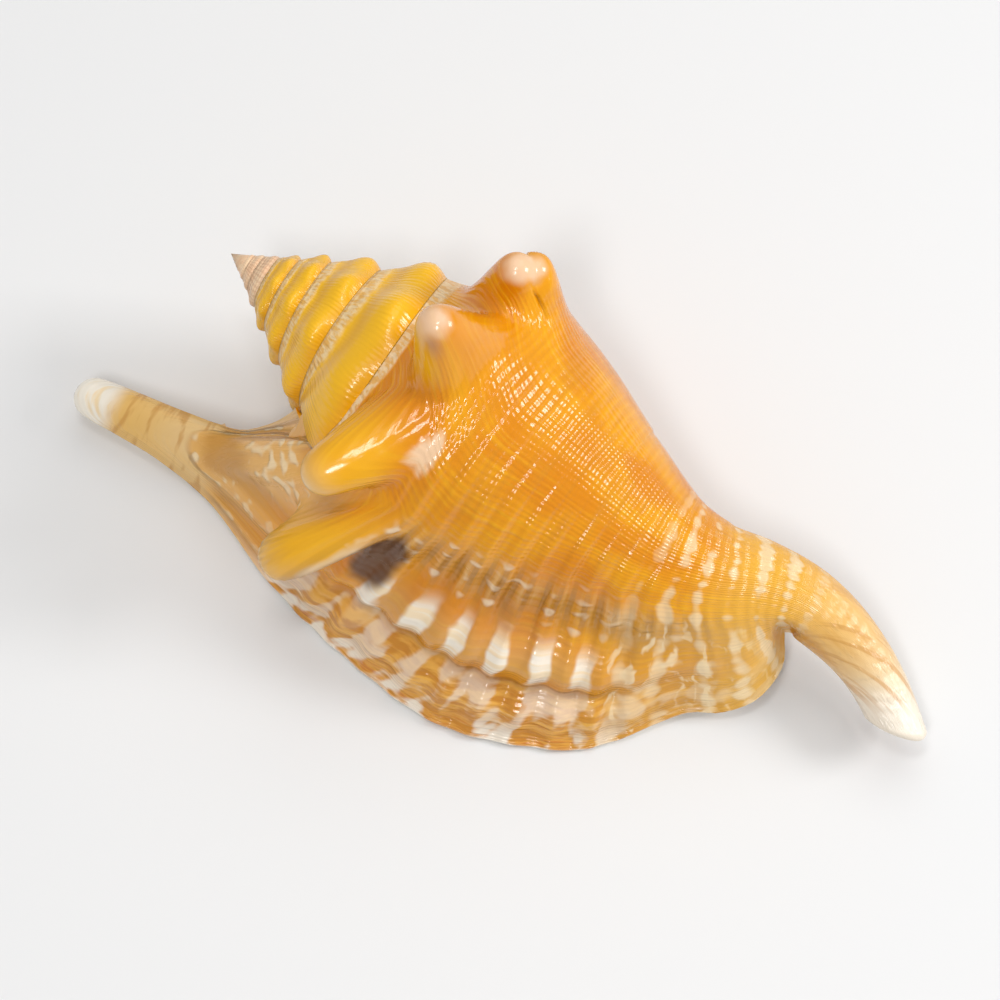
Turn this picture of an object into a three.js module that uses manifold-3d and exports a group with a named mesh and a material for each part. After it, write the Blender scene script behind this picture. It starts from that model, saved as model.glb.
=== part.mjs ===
// A rooster conch shell: one hollow piece of shell, lying on its opening as it rests on a table.
//
// The shell grew as one sheet that wound round an axis. A point of its outside has two numbers: the
// growth angle, in degrees round the axis, and the station, from 0 at the seam with the whorl before
// to 1 at the end of the canal. Past the flare, the sheet leaves the axis and spreads into the lip,
// and the lip's back corner runs out into the long tail that gives the shell its name.
//
// x runs from the spire to the canal, the lip lies towards -y, and z is up.

import * as THREE from "three";
import { mergeVertices } from "three/addons/utils/BufferGeometryUtils.js";
import Module from "manifold-3d";

// Driving dimensions, in millimetres and degrees

const APEX = new THREE.Vector3(-56, 3.8, 27);
const AXIS = new THREE.Vector3(0.994, 0.04, -0.1).normalize();

const TURN = 360;
const GROWTH = 1.43; // how much the whorls widen in one turn
const WHORLS = 7; // in the spire, above the last whorl
const LIP = 150; // the growth angle of the finished lip
const FLARE = 55; // the growth angle where the sheet leaves the axis
const LAG = 45; // how much sooner the lip ends at the seam

const SEAM_ALONG = 30.4; // the seam at growth angle 0, from the apex along the axis
const SEAM_RADIUS = 17.4;
const SHOULDER = 0.16; // the station of the shoulder
const SHOULDER_ALONG = 43.5;
const SHOULDER_RADIUS = 24;
const KNOB_ANGLE = 46; // from one knob of the spire to the next
const KNOB_HEIGHT = 0.9;
const KNOB_MEAN = 0.8; // the shoulder between two knobs stands out a little too

const MOUND_HEIGHT = 2.4; // under a spine
const MOUND_WIDTH = 12;
const KNOB_WIDTH = 8.5; // and wider as the knob is higher

const NOTCH = 0.76; // the station of the notch between lip and canal
const SLIT = 64; // degrees of the canal's wall that are open
const CANAL_SKEW = 1.8; // how much longer the canal's end is on its far side
const CANAL_ROOF = 2.2; // and above its opening
const CANAL_CUT = 1.6; // and how much shorter it is all round

const WALL = 2.3;
const THIN_WALL = 1.5; // in the tail and the canal
const RIBS = 11;
const RIB_FROM = 0.2;
const RIB_TO = 0.64;
const RIB_HEIGHT = 0.5;
const RIB_AT_MARGIN = 0.4; // what is left of a rib's height there

const TAIL_ROOT = new THREE.Vector2(-43, -19.9);
const TAIL_END = new THREE.Vector2(-64.4, -22.8);
const TAIL_HALF_WIDTH = 4;
const TAIL_RISE = 4.6;

// The mesh: columns round a whorl, rows across it, and layers into the opening
const COLUMNS = 43;
const CROWDING = 0.15;
const SEAM_ROWS = 4;
const TAIL_ROWS = 16;
const CANAL_ROWS = 10;
const CANAL_CROWDING = 1.3; // rows stand closer together where the lip turns into the notch
const ROWS = TAIL_ROWS + 2 * RIBS + CANAL_ROWS;
const LAYERS = 9;
const SEAM_STATION = 0.03; // where the finished lip is fixed, on the whorl before
const DEPTH = 210; // degrees that the opening reaches back from the lip
const SIDES = 12; // of a spine
const RINGS = 5;
const TIP_RINGS = 3;
const SUNK = 0.9; // how far a spine's foot lies below the outside
const CAP_FROM = 28; // degrees over the ball of a spine's tip where its sides run into it
const LEAN_IN = 0.9; // how a spine leaves its foot: towards the middle, and up
const LEAN_UP = 0.5;
const RUN_IN = 0.6; // the length of its way into the tip, as a part of its height

const radians = (degrees) => (degrees * Math.PI) / 180;
const clamp = (x) => Math.min(1, Math.max(0, x));
const mix = (a, b, t) => a + (b - a) * t;
const grown = (angle) => GROWTH ** (angle / TURN);

function ease(from, to, x) {
  const t = clamp((x - from) / (to - from));
  return t * t * (3 - 2 * t);
}

// The weights of a cubic: its start, its way out, its end, its way in
function cubic(t) {
  const start = 2 * t ** 3 - 3 * t ** 2 + 1;
  return [start, t ** 3 - 2 * t ** 2 + t, 1 - start, t ** 3 - t ** 2];
}

// A smooth line through rows of [x, value, value, ...]
function through(rows) {
  const last = rows.length - 1;
  const slopes = rows.map((row, i) => {
    const before = rows[Math.max(0, i - 1)];
    const after = rows[Math.min(last, i + 1)];
    return row.map((_, n) => (after[n] - before[n]) / (after[0] - before[0]));
  });
  return (x) => {
    let i = 0;
    while (i < last - 1 && x > rows[i + 1][0]) i += 1;
    const width = rows[i + 1][0] - rows[i][0];
    const [a, b, c, d] = cubic(clamp((x - rows[i][0]) / width));
    const values = rows[i].map(
      (value, n) =>
        a * value +
        b * width * slopes[i][n] +
        c * rows[i + 1][n] +
        d * width * slopes[i + 1][n],
    );
    return values.length === 2 ? values[1] : values.slice(1);
  };
}

// The axis, and the places round it

const UP = new THREE.Vector3(0, 0, 1)
  .addScaledVector(AXIS, -AXIS.z)
  .normalize();
const LIPWARD = new THREE.Vector3().crossVectors(AXIS, UP);

// The neck and canal bend away from the axis: [along, to the far side, up]
const bend = through([
  [70, 0, 0],
  [82, 0.6, 0],
  [90, 2.8, 0],
  [96, 5.8, -0.3],
  [102, 8, -1.2],
  [108, 8.7, -2.8],
  [114.5, 7.9, -4.8],
  [120.5, 5.8, -6.4],
  [127, 2, -7.6],
  [133, -1.8, -8.4],
]);

function centre(along) {
  const [far, up] = bend(along);
  return APEX.clone()
    .addScaledVector(AXIS, along)
    .addScaledVector(LIPWARD, -far)
    .addScaledVector(UP, up);
}

// A place from [along, radius] and the direction round the axis, 0 up and 90 to the lip
function place([along, radius], direction) {
  const ahead = centre(along + 0.5).sub(centre(along - 0.5)).normalize();
  const side = new THREE.Vector3().crossVectors(ahead, UP).normalize();
  const top = new THREE.Vector3().crossVectors(side, ahead);
  const turn = radians(direction);
  return centre(along)
    .addScaledVector(top, radius * Math.cos(turn))
    .addScaledVector(side, radius * Math.sin(turn));
}

// The seam, as [along, radius]: it follows the growth until the lip climbs the whorl before

const seamDrift = through([
  [-500, 0, 0],
  [-440, 1.2, 0],
  [-280, 0, 0],
  [-80, 1.8, 0],
  [0, 1.8, 0.2],
  [42, 0.8, 1.6],
  [62, -1.1, 2.8],
  [74, -2.6, 1.5],
  [88, -6.6, -2.6],
  [105, -11.4, -5.8],
]);

function seam(angle) {
  const [along, radius] = seamDrift(angle);
  return [
    SEAM_ALONG * grown(angle) + along,
    SEAM_RADIUS * grown(angle) + radius,
  ];
}

// The last whorl at growth angle 0: [station, along, radius]
const outline = through([
  [0, SEAM_ALONG, SEAM_RADIUS],
  [0.04, 33, 18.4],
  [0.1, 38.4, 21.2],
  [SHOULDER, SHOULDER_ALONG, SHOULDER_RADIUS],
  [0.24, 50, 23.9],
  [0.34, 59.5, 21],
  [0.44, 68.5, 17],
  [0.54, 77.5, 13],
  [0.62, 85, 10.4],
  [0.7, 92.5, 8.2],
  [0.8, 103, 6],
  [0.9, 115.5, 4.7],
  [1, 127.5, 4],
]);

const shoulderAlong = through([
  [-420, 25.5],
  [-360, 28.8],
  [-210, 35.5],
  [-120, 41],
  [-60, 44],
  [0, SHOULDER_ALONG],
  [60, 42.5],
  [LIP, 41],
]);

// The whorl draws in under the body, towards the column in the middle
function hollow(angle, station) {
  const there = ease(0.25, 0.5, station) * (1 - ease(0.7, 0.86, station));
  const drawn = 0.42 * ease(-90, -210, angle) + 0.2 * ease(-210, -300, angle);
  return 1 - drawn * there;
}

function whorl(angle, station) {
  let [along, radius] = outline(station);
  radius *= mix(grown(angle), 1, ease(0.35, 0.8, station));
  radius *= hollow(angle, station);
  const shift = shoulderAlong(angle) - SHOULDER_ALONG;
  along += shift * (1 - ease(SHOULDER, 0.5, station));
  const [seamAlong, seamRadius] = seam(angle);
  const up = station / SHOULDER;
  const ramp = mix(seamAlong, shoulderAlong(angle), up);
  const rise = mix(seamRadius, SHOULDER_RADIUS * grown(angle), up ** 1.3);
  const free = ease(0, 0.13, station);
  return [mix(ramp, along, free), mix(rise, radius, free)];
}

// The direction round the axis of a growth angle: the canal's two edges stay apart
function direction(angle, station) {
  const middle = LIP - TURN / 2;
  const closed = 1 - (SLIT / TURN) * ease(0.55, 0.82, station);
  return middle + (angle - middle) * closed;
}

function round(angle, station) {
  const towards = direction(angle, station);
  const [along, radius] = whorl(angle, station);
  const turn = radians(towards);
  const longer = CANAL_ROOF * Math.cos(turn) - CANAL_SKEW * Math.sin(turn) - CANAL_CUT;
  return place([along + longer * ease(0.84, 1, station), radius], towards);
}

// The lip's edge: [station, x, y, z, how steeply it turns down]
const lipEdge = through([
  [0, -33.7, -8.4, 21.2, 20],
  [0.02, -36.3, -11.6, 17, 20],
  [0.04, -41.2, -14.9, 12.9, 15],
  [0.06, -50, -17.2, 9.4, 10],
  [0.076, -58.5, -18.4, 7.6, 5],
  [0.088, -64.8, -19.4, 6.8, 5],
  [0.094, -67.2, -20.6, 6.4, 5],
  [0.1, -68.2, -22.7, 6.1, 5],
  [0.106, -67.9, -24.9, 5.8, 5],
  [0.113, -65.4, -26.5, 5.4, 5],
  [0.125, -59.2, -25.7, 4.7, 10],
  [0.142, -50.4, -24.5, 3.2, 30],
  [0.162, -41, -24.2, 1.9, 45],
  [0.2, -25.2, -28.7, 1.3, 45],
  [0.309, -5.7, -31.2, 1.1, 42],
  [0.411, 12, -30.5, 1.1, 38],
  [0.53, 29.1, -22.2, 1, 35],
  [0.58, 34.6, -16.4, 1.2, 35],
  [0.61, 37.6, -11.4, 2, 35],
  [0.64, 41.3, -5.6, 2.8, 35],
  [0.67, 45.6, -2.4, 3.6, 35],
  [0.7, 48.8, 2.4, 5, 35],
  [0.73, 49, 8.4, 7, 40],
  [NOTCH, 46.2, 12.4, 9.4, 45],
]);

function edge(station) {
  const [x, y, z] = lipEdge(Math.min(station, NOTCH));
  const lip = new THREE.Vector3(x, y, z);
  if (station <= NOTCH) return lip;
  const away = lip.sub(round(LIP, NOTCH));
  const fading = 1 - ease(NOTCH, NOTCH + 0.1, station);
  return round(LIP, station).addScaledVector(away, fading);
}

// A smooth way from one point, leaving along one vector, to another, arriving along another
function way(start, leave, end, arrive, t) {
  const [a, b, c, d] = cubic(t);
  return start
    .clone()
    .multiplyScalar(a)
    .addScaledVector(leave, b)
    .addScaledVector(end, c)
    .addScaledVector(arrive, d);
}

const leaving = (station) => {
  const before = round(FLARE - 2, station);
  return round(FLARE, station).sub(before).normalize();
};

// How the sheet spreads into the lip:
// [station, length of the way out, how far it leans back, length of the way in]
const spread = through([
  [0.2, 30, 0.4, 18],
  [0.3, 30, 0, 20],
  [0.5, 26, -0.2, 18],
  [0.6, 22, -0.4, 15],
  [0.7, 12, -0.4, 9],
  [1, 10, 0, 8],
]);

function lip(part, station) {
  const [out, lean, inward] = spread(station);
  const leave = leaving(station).addScaledVector(AXIS, -lean).setLength(out);
  const [back, on] = [edge(Math.max(0, station - 0.004)), edge(Math.min(1, station + 0.004))];
  const along = on.sub(back);
  const away = new THREE.Vector3(along.y, -along.x, 0).normalize();
  const steep = radians(lipEdge(Math.min(station, NOTCH))[3]);
  const arrive = away.multiplyScalar(Math.cos(steep));
  arrive.z = -Math.sin(steep);
  return way(round(FLARE, station), leave, edge(station), arrive.setLength(inward), part);
}

// Behind the spines the sheet draws together into the tail over its root: [station, x, y, z]
const tailRoot = through([
  [0, -25.5, -14.2, 29],
  [0.02, -31, -13.2, 22.8],
  [0.04, -35.8, -14.8, 18.4],
  [0.06, -40.5, -16.6, 14.6],
  [0.08, -42.3, -18, 13.6],
  [0.1, -42.6, -19.2, 13.2],
  [0.12, -42.2, -20.4, 12.4],
  [0.142, -40.6, -21.2, 11],
  [0.162, -35.4, -21.4, 10.5],
  [0.2, -22, -24.6, 11.5],
  [0.25, -9, -25.5, 12],
]);
const ROOT_PART = 0.45; // how far out the tail's root is, from the flare to the edge
const TAIL_LEAVE = 12; // how far the sheet keeps its way past the flare before it turns back

function tail(part, station) {
  const start = round(FLARE, station);
  const root = new THREE.Vector3(...tailRoot(station));
  const end = edge(station);
  const up = root.clone().sub(start);
  const down = end.clone().sub(root);
  const over = up.clone().multiplyScalar(0.5 / ROOT_PART);
  over.addScaledVector(down, 0.5 / (1 - ROOT_PART));
  if (part < ROOT_PART) {
    const leave = leaving(station).multiplyScalar(TAIL_LEAVE).addScaledVector(up, 0.6);
    return way(start, leave, root, over.multiplyScalar(ROOT_PART), part / ROOT_PART);
  }
  const rest = 1 - ROOT_PART;
  return way(root, over.multiplyScalar(rest), end, down, (part - ROOT_PART) / rest);
}

// The tail is a half pipe: its two sides, and its round back between them
function overTail(point) {
  const line = TAIL_END.clone().sub(TAIL_ROOT);
  const here = new THREE.Vector2(point.x, point.y).sub(TAIL_ROOT);
  const along = here.dot(line) / line.lengthSq();
  const aside = here.cross(line) / line.length() / -TAIL_HALF_WIDTH;
  const past = (Math.max(0, along - 1) * line.length()) / TAIL_HALF_WIDTH;
  const backSide = mix(14.4, 4.6, clamp(along) ** 0.8);
  const lipSide = mix(0.6, 4, along);
  const side = mix(backSide, lipSide, clamp((1 + aside) / 2));
  const rise = TAIL_RISE * ease(-0.5, 0.5, along);
  const rounded = rise * Math.sqrt(clamp(1 - aside ** 2 - past ** 2));
  const near = ease(-0.35, 0.3, along) * (1 - ease(1, 1.8, Math.abs(aside)));
  return mix(point.z, side + rounded, near);
}

const lagAt = (station) => LAG * (1 - ease(0, 0.3, station));

// The growth angle at a share of the last turn, which ends at the lip
const angleAt = (share, station) => LIP - TURN * (1 - share) - lagAt(station);

// How far out on the lip a point is, from the flare at 0 to the edge at 1
const outAt = (share, station) =>
  clamp((angleAt(share, station) - FLARE) / (LIP - lagAt(station) - FLARE));

// The middle of the sheet, without knobs, spines, folds or ribs
function sheet(share, station) {
  const angle = angleAt(share, station);
  if (angle <= FLARE) return round(angle, station);
  const free = outAt(share, station);
  const part = mix(free, 1 - (1 - free) ** 2, 0.35);
  const point = lip(part, station);
  const inTail = 1 - ease(0.15, 0.25, station);
  if (inTail > 0) {
    const onTail = tail(part, station);
    onTail.z = overTail(onTail);
    point.lerp(onTail, inTail);
  }
  const onSeam = place(seam(angle), angle).sub(tail(part, 0));
  point.addScaledVector(onSeam, (1 - clamp(station / 0.05)) ** 2);
  return point.lerp(round(angle, station), ease(NOTCH, NOTCH + 0.1, station));
}

function facing(share, station) {
  const step = 0.004;
  const [before, after] = [Math.max(0, share - step), Math.min(1, share + step)];
  const [above, below] = [Math.max(0, station - step), Math.min(1, station + step)];
  const onward = sheet(after, station).sub(sheet(before, station));
  const across = sheet(share, below).sub(sheet(share, above));
  return onward.cross(across).normalize();
}

// Spines, blunt horns: [growth angle and station of the foot, half the foot's angle and stations,
// the tip's x, y, z and radius]
const spines = [
  [-52, 0.13, 20, 0.09, -13.4, 20.9, 49.6, 3.1],
  [-44, 0.16, 18, 0.09, -11.7, 23.2, 47.9, 2.8],
  [-2, 0.135, 22, 0.09, -15.4, 3.9, 58.4, 3.4],
  [38, 0.125, 19, 0.085, -18.8, -22.1, 40, 3.7],
  [66, 0.205, 9, 0.04, -20.9, -31.6, 23.1, 3.9],
];

// The smaller knobs of the last whorl's start: [growth angle, height]
const knobs = [
  [-240, 2.2],
  [-198, 3],
  [-153, 5.8],
  [-106, 5.4],
];

// The sheet rises in a mound under each spine and knob
const mounds = [
  ...spines.map(([angle, station]) => {
    const share = (angle - LIP + lagAt(station)) / TURN + 1;
    const rise = facing(share, station).multiplyScalar(MOUND_HEIGHT);
    return { foot: sheet(share, station), width: MOUND_WIDTH, rise };
  }),
  ...knobs.map(([angle, height]) => {
    const foot = round(angle, SHOULDER);
    const out = foot.clone().sub(centre(whorl(angle, SHOULDER)[0]));
    const rise = out.addScaledVector(AXIS, -6).setLength(height);
    return { foot, width: KNOB_WIDTH + height * 0.6, rise };
  }),
];

function mound(point) {
  const moved = new THREE.Vector3();
  for (const { foot, width, rise } of mounds) {
    const away = clamp(point.distanceTo(foot) / width);
    moved.addScaledVector(rise, (1 - away ** 2) ** 2);
  }
  return moved;
}

// Folds that run along the lip, by how far out they are: valley, roll, groove, margin
const folds = through([
  [0, 0],
  [0.1, -0.5],
  [0.24, -1.9],
  [0.42, 1.7],
  [0.55, -1],
  [0.68, 0.7],
  [0.85, -0.3],
  [1, 0],
]);

function fold(share, station) {
  const onLip = ease(0.14, 0.28, station) * (1 - ease(0.5, 0.7, station));
  return onLip * folds(outAt(share, station));
}

function rib(share, station) {
  const ends = ease(0.19, 0.24, station) * (1 - ease(0.58, 0.64, station));
  const margin = mix(1, RIB_AT_MARGIN, ease(0.75, 1, outAt(share, station)));
  const ribbed = ends * margin * ease(-20, 100, angleAt(share, station));
  const phase = ((station - RIB_FROM) / (RIB_TO - RIB_FROM)) * RIBS;
  return RIB_HEIGHT * ribbed * Math.cos(2 * Math.PI * phase);
}

function outside(share, station) {
  const point = sheet(share, station);
  const raised = mound(point);
  const relief = fold(share, station) + rib(share, station);
  return point.addScaledVector(facing(share, station), relief).add(raised);
}

function inside(share, station) {
  const tailRim = (1 - ease(0.1, 0.2, station)) * ease(0.92, 0.98, share);
  const thin = Math.max(tailRim, ease(0.6, 0.75, station));
  const thick = (1 - ease(0.12, 0.24, station)) * (1 - ease(0.9, 0.96, share));
  const wall = mix(WALL, THIN_WALL, thin) + 0.8 * thick;
  return sheet(share, station).addScaledVector(facing(share, station), fold(share, station) - wall);
}

// How a whorl of the spire climbs from its own seam (0) to the next (1): a narrow collar, a shallow
// channel, then the shoulder
const climb = through([
  [0, 0],
  [0.14, 0.2],
  [0.32, 0.38],
  [0.52, 0.74],
  [0.7, 0.95],
  [0.86, 1],
  [1, 1],
]);

// The spire: a whorl between its own seam (across 0) and the next (across 1)
function spire(angle, across) {
  const [fromAlong, fromRadius] = seam(angle);
  const [toAlong, toRadius] = seam(angle + TURN);
  const along = mix(fromAlong, toAlong, across);
  const radius = mix(fromRadius, toRadius, climb(across));
  const wave = KNOB_MEAN + Math.cos(radians((angle / KNOB_ANGLE) * TURN));
  const knob = wave * Math.sin(Math.PI * across ** 1.3);
  const height = KNOB_HEIGHT * grown(angle + TURN) * knob * ease(-2200, -1300, angle);
  const near = ease(angleAt(0, 0) - 90, angleAt(0, 0), angle);
  const last = whorl(angle, across * SEAM_STATION);
  return place(
    [mix(along, last[0], near), mix(radius + height, last[1], near)],
    angle,
  );
}

// Rows: the tail's, closest together at its end, then two to a rib, then the canal's
function rowStation(row) {
  if (row <= TAIL_ROWS) {
    const fromTip = (2 * row) / TAIL_ROWS - 1;
    return (RIB_FROM / 2) * (1 + Math.sign(fromTip) * Math.abs(fromTip) ** 1.5);
  }
  const ribRow = row - TAIL_ROWS;
  if (ribRow <= 2 * RIBS) return mix(RIB_FROM, RIB_TO, ribRow / (2 * RIBS));
  return mix(RIB_TO, 1, ((ribRow - 2 * RIBS) / CANAL_ROWS) ** CANAL_CROWDING);
}

// At the start of the last whorl, the rows close up to meet the end of the seam
function station(row, share) {
  const plain = rowStation(row);
  const seamRow = rowStation(SEAM_ROWS);
  const met =
    row <= SEAM_ROWS
      ? (SEAM_STATION * row) / SEAM_ROWS
      : mix(SEAM_STATION, 1, (plain - seamRow) / (1 - seamRow));
  return mix(met, plain, ease(0, 0.25, share));
}

const count = (n) => Array.from({ length: n + 1 }, (_, i) => i);

// Columns stand closer together towards the lip
function columnShare(column) {
  const even = column / COLUMNS;
  return even * (1 + CROWDING * (1 - even));
}

const body = count(COLUMNS).map((column) => {
  const share = columnShare(column);
  return count(ROWS).map((row) => {
    if (row === 0) {
      const angle = angleAt(share, 0);
      return place(seam(angle), angle);
    }
    return outside(share, station(row, share));
  });
});

const wound = count(WHORLS - 1).map((n) =>
  count(COLUMNS).map((column) => {
    const angle = angleAt(columnShare(column), 0) - TURN * (n + 1);
    return count(SEAM_ROWS).map((row) => spire(angle, row / SEAM_ROWS));
  }),
);

// Whorls share their seams with the next whorl, and the spire runs on into the last whorl
wound[0][COLUMNS] = body[0].slice(0, SEAM_ROWS + 1);
body[COLUMNS][0] = body[0][SEAM_ROWS];
wound.forEach((whorlGrid, n) => {
  const next = n === 0 ? body : wound[n - 1];
  whorlGrid.forEach((points, column) => {
    points[SEAM_ROWS] = next[column][0];
  });
  if (n > 0) whorlGrid[COLUMNS] = wound[n - 1][0];
});

// The opening: its outer side is the inside of the last whorl, and its inner side the whorl before

const inCanal = (at) => ease(0.66, 0.8, at);

function outerLining(layer, row) {
  const at = rowStation(row);
  const depth = ((layer - 1) / (LAYERS - 1)) ** 1.35;
  const back = mix(1 - DEPTH / TURN, 0.61, inCanal(at));
  return inside(mix(1, back, depth), at);
}

function innerLining(layer, row) {
  const at = station(row, 0);
  const canal = inside((0.55 * (layer - 1)) / (LAYERS - 1), at);
  const back = (DEPTH * layer) / LAYERS;
  const angle = angleAt(0, at) - back;
  const seamHere = 0.16 * ease(0, 105, back);
  const lower = mix(at, 1, (seamHere * (1 - at)) / (1 - SEAM_STATION));
  return round(angle, lower).lerp(canal, inCanal(at));
}

const outer = [body[COLUMNS]];
const inner = [body[0].slice(SEAM_ROWS)];
for (let layer = 1; layer <= LAYERS; layer += 1) {
  const innerRow = [];
  for (let row = SEAM_ROWS; row <= ROWS; row += 1) {
    innerRow.push(innerLining(layer, row));
  }
  const corner = innerRow[0];
  const outerRow = count(ROWS).map((row) => {
    const near = ease(0, 0.05, rowStation(row));
    return corner.clone().lerp(outerLining(layer, row), near);
  });
  outer.push(outerRow);
  inner.push(innerRow);
}

// A spine rises out of the sheet all round its foot, and ends in a round tip
function spine([angle, station, halfAngle, halfStation, x, y, z, radius]) {
  const sunk = (towards, at) => {
    const share = (towards - LIP + lagAt(at)) / TURN + 1;
    return outside(share, at).addScaledVector(facing(share, at), -SUNK);
  };
  const foot = sunk(angle, station);
  const tip = new THREE.Vector3(x, y, z);
  const rise = tip.clone().sub(foot);
  const axis = rise.clone().normalize();
  const neck = tip.clone().addScaledVector(axis, -radius);
  const onward = sunk(angle + 1, station).sub(foot);
  const across = axis.clone().cross(onward).normalize();
  const ahead = across.clone().cross(axis);
  const from = radians(CAP_FROM);
  const sides = count(SIDES).map((side) => {
    const turn = (2 * Math.PI * (side % SIDES)) / SIDES;
    const [cosine, sine] = [Math.cos(turn), Math.sin(turn)];
    const base = sunk(angle + halfAngle * cosine, station + halfStation * sine);
    const off = ahead.clone().multiplyScalar(cosine).addScaledVector(across, sine);
    const cap = (over) => {
      const point = neck.clone().addScaledVector(off, radius * Math.cos(over));
      return point.addScaledVector(axis, radius * Math.sin(over));
    };
    const leave = foot.clone().sub(base).multiplyScalar(LEAN_IN).addScaledVector(rise, LEAN_UP);
    const arrive = axis.clone().multiplyScalar(Math.cos(from)).addScaledVector(off, -Math.sin(from));
    arrive.setLength(rise.length() * RUN_IN);
    const line = count(RINGS).map((ring) => way(base, leave, cap(from), arrive, ring / RINGS));
    for (let ring = 1; ring < TIP_RINGS; ring += 1) {
      line.push(cap(mix(from, Math.PI / 2, ring / TIP_RINGS)));
    }
    return line;
  });
  return { foot, tip, sides };
}

// A skin of triangles

class Skin {
  corners = [];

  triangle(a, b, c) {
    this.corners.push(a, b, c);
  }

  grid(lines) {
    for (let i = 0; i < lines.length - 1; i += 1) {
      for (let j = 0; j < lines[i].length - 1; j += 1) {
        this.triangle(lines[i][j], lines[i + 1][j + 1], lines[i][j + 1]);
        this.triangle(lines[i][j], lines[i + 1][j], lines[i + 1][j + 1]);
      }
    }
  }

  // Triangles from one point to a line of points
  fan(middle, line) {
    for (let i = 0; i < line.length - 1; i += 1) this.triangle(middle, line[i], line[i + 1]);
  }

  // A strip between two lines of points that need not have the same number
  strip(first, second) {
    let i = 0;
    let j = 0;
    while (i < first.length - 1 || j < second.length - 1) {
      const ahead = (i + 1) / (first.length - 1) <= (j + 1) / (second.length - 1);
      if (j === second.length - 1 || (ahead && i < first.length - 1)) {
        this.triangle(first[i], second[j], first[i + 1]);
        i += 1;
      } else {
        this.triangle(first[i], second[j], second[j + 1]);
        j += 1;
      }
    }
  }
}

const coiled = new Skin();
coiled.grid(body);
wound.forEach((whorlGrid) => coiled.grid(whorlGrid));

// The apex closes the first whorl, over its start and over its seam
const first = wound[WHORLS - 1];
const start = first[0].slice(0, SEAM_ROWS);
const seamBack = first.map((points) => points[0]).reverse();
coiled.fan(APEX, [...start, ...seamBack]);

coiled.grid(outer);
coiled.grid([...inner].reverse());
coiled.strip(outer[LAYERS], inner[LAYERS]);
const rim = body.map((points) => points[ROWS]).reverse();
const bore = [...outer.slice(1), ...inner.slice(1).reverse()].map((points) => points.at(-1));
coiled.strip(rim, bore);

// The places that the shell rests on are worn flat: the table is cut off below z = 0

const wasm = await Module();
wasm.setup();

function solid(points) {
  const bare = new THREE.BufferGeometry().setFromPoints(points);
  const merged = mergeVertices(bare, 1e-3);
  const mesh = new wasm.Mesh({
    numProp: 3,
    vertProperties: Float32Array.from(merged.getAttribute("position").array),
    triVerts: Uint32Array.from(merged.getIndex().array),
  });
  return new wasm.Manifold(mesh);
}

const spineSolids = spines.map((row) => {
  const { foot, tip, sides } = spine(row);
  const skin = new Skin();
  skin.grid(sides);
  skin.fan(tip, sides.map((line) => line.at(-1)));
  skin.fan(foot, sides.map((line) => line[0]).reverse());
  return solid(skin.corners);
});
const grownShell = wasm.Manifold.union([solid(coiled.corners), ...spineSolids]);
const table = wasm.Manifold.cube([300, 300, 40], true).translate([0, 0, -20]);
const cut = grownShell.subtract(table).getMesh();

const geometry = new THREE.BufferGeometry();
geometry.setAttribute("position", new THREE.BufferAttribute(cut.vertProperties, 3));
geometry.setIndex(new THREE.BufferAttribute(cut.triVerts, 1));
geometry.computeVertexNormals();

const material = new THREE.MeshStandardMaterial({
  color: 0xe59a2c,
  roughness: 0.22,
  metalness: 0,
});

const shell = new THREE.Mesh(geometry, material);
shell.name = "shell";

// The origin is under the middle of the shell, on the table
geometry.computeBoundingBox();
const middle = geometry.boundingBox.getCenter(new THREE.Vector3());
shell.position.set(-middle.x, -middle.y, 0);

const conch = new THREE.Group();
conch.name = "rooster_conch_shell";
conch.add(shell);

export default conch;
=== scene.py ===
# %% [markdown]
# # A rooster conch shell
# A shell grows as one sheet that winds round an axis and gets wider. So a point of its outside
# needs only two numbers: the growth angle, how far round the sheet has grown, and the station, how
# far across the sheet it is, from the seam with the whorl before to the end of the canal.
# We build the whole shell from these two numbers, and we paint it with them too, because growth
# lines, ribs and bands of colour follow them on the real shell.

import math

import bpy
import numpy as np
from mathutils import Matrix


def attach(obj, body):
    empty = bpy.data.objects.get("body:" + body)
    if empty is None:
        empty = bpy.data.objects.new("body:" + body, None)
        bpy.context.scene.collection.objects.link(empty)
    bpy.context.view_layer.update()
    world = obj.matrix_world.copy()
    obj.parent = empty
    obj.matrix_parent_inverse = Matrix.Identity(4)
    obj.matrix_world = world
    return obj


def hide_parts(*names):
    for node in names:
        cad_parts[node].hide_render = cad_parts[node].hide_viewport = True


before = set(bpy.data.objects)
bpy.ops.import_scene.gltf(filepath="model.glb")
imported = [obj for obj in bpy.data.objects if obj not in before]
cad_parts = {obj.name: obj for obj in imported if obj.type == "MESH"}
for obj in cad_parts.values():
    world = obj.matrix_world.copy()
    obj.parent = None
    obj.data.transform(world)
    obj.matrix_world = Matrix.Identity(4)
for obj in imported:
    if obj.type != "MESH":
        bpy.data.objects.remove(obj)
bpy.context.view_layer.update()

# %% [markdown]
# ## Smooth lines
# Forms that grew have no corners, so everything is drawn with two tools: an easing from 0 to 1, and
# a smooth line through a few chosen values. Both work on whole arrays of points at once.

# %% Smooth lines
MM = 0.001


def mix(a, b, t):
    return a + (b - a) * t


def ease(start, end, x):
    """Goes smoothly from 0 at start to 1 at end."""
    t = np.clip((x - start) / (end - start), 0, 1)
    return t * t * (3 - 2 * t)


def cubic(t):
    """The weights of a start, the way out of it, an end, and the way into it."""
    start = 2 * t**3 - 3 * t**2 + 1
    return start, t**3 - 2 * t**2 + t, 1 - start, t**3 - t**2


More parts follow.
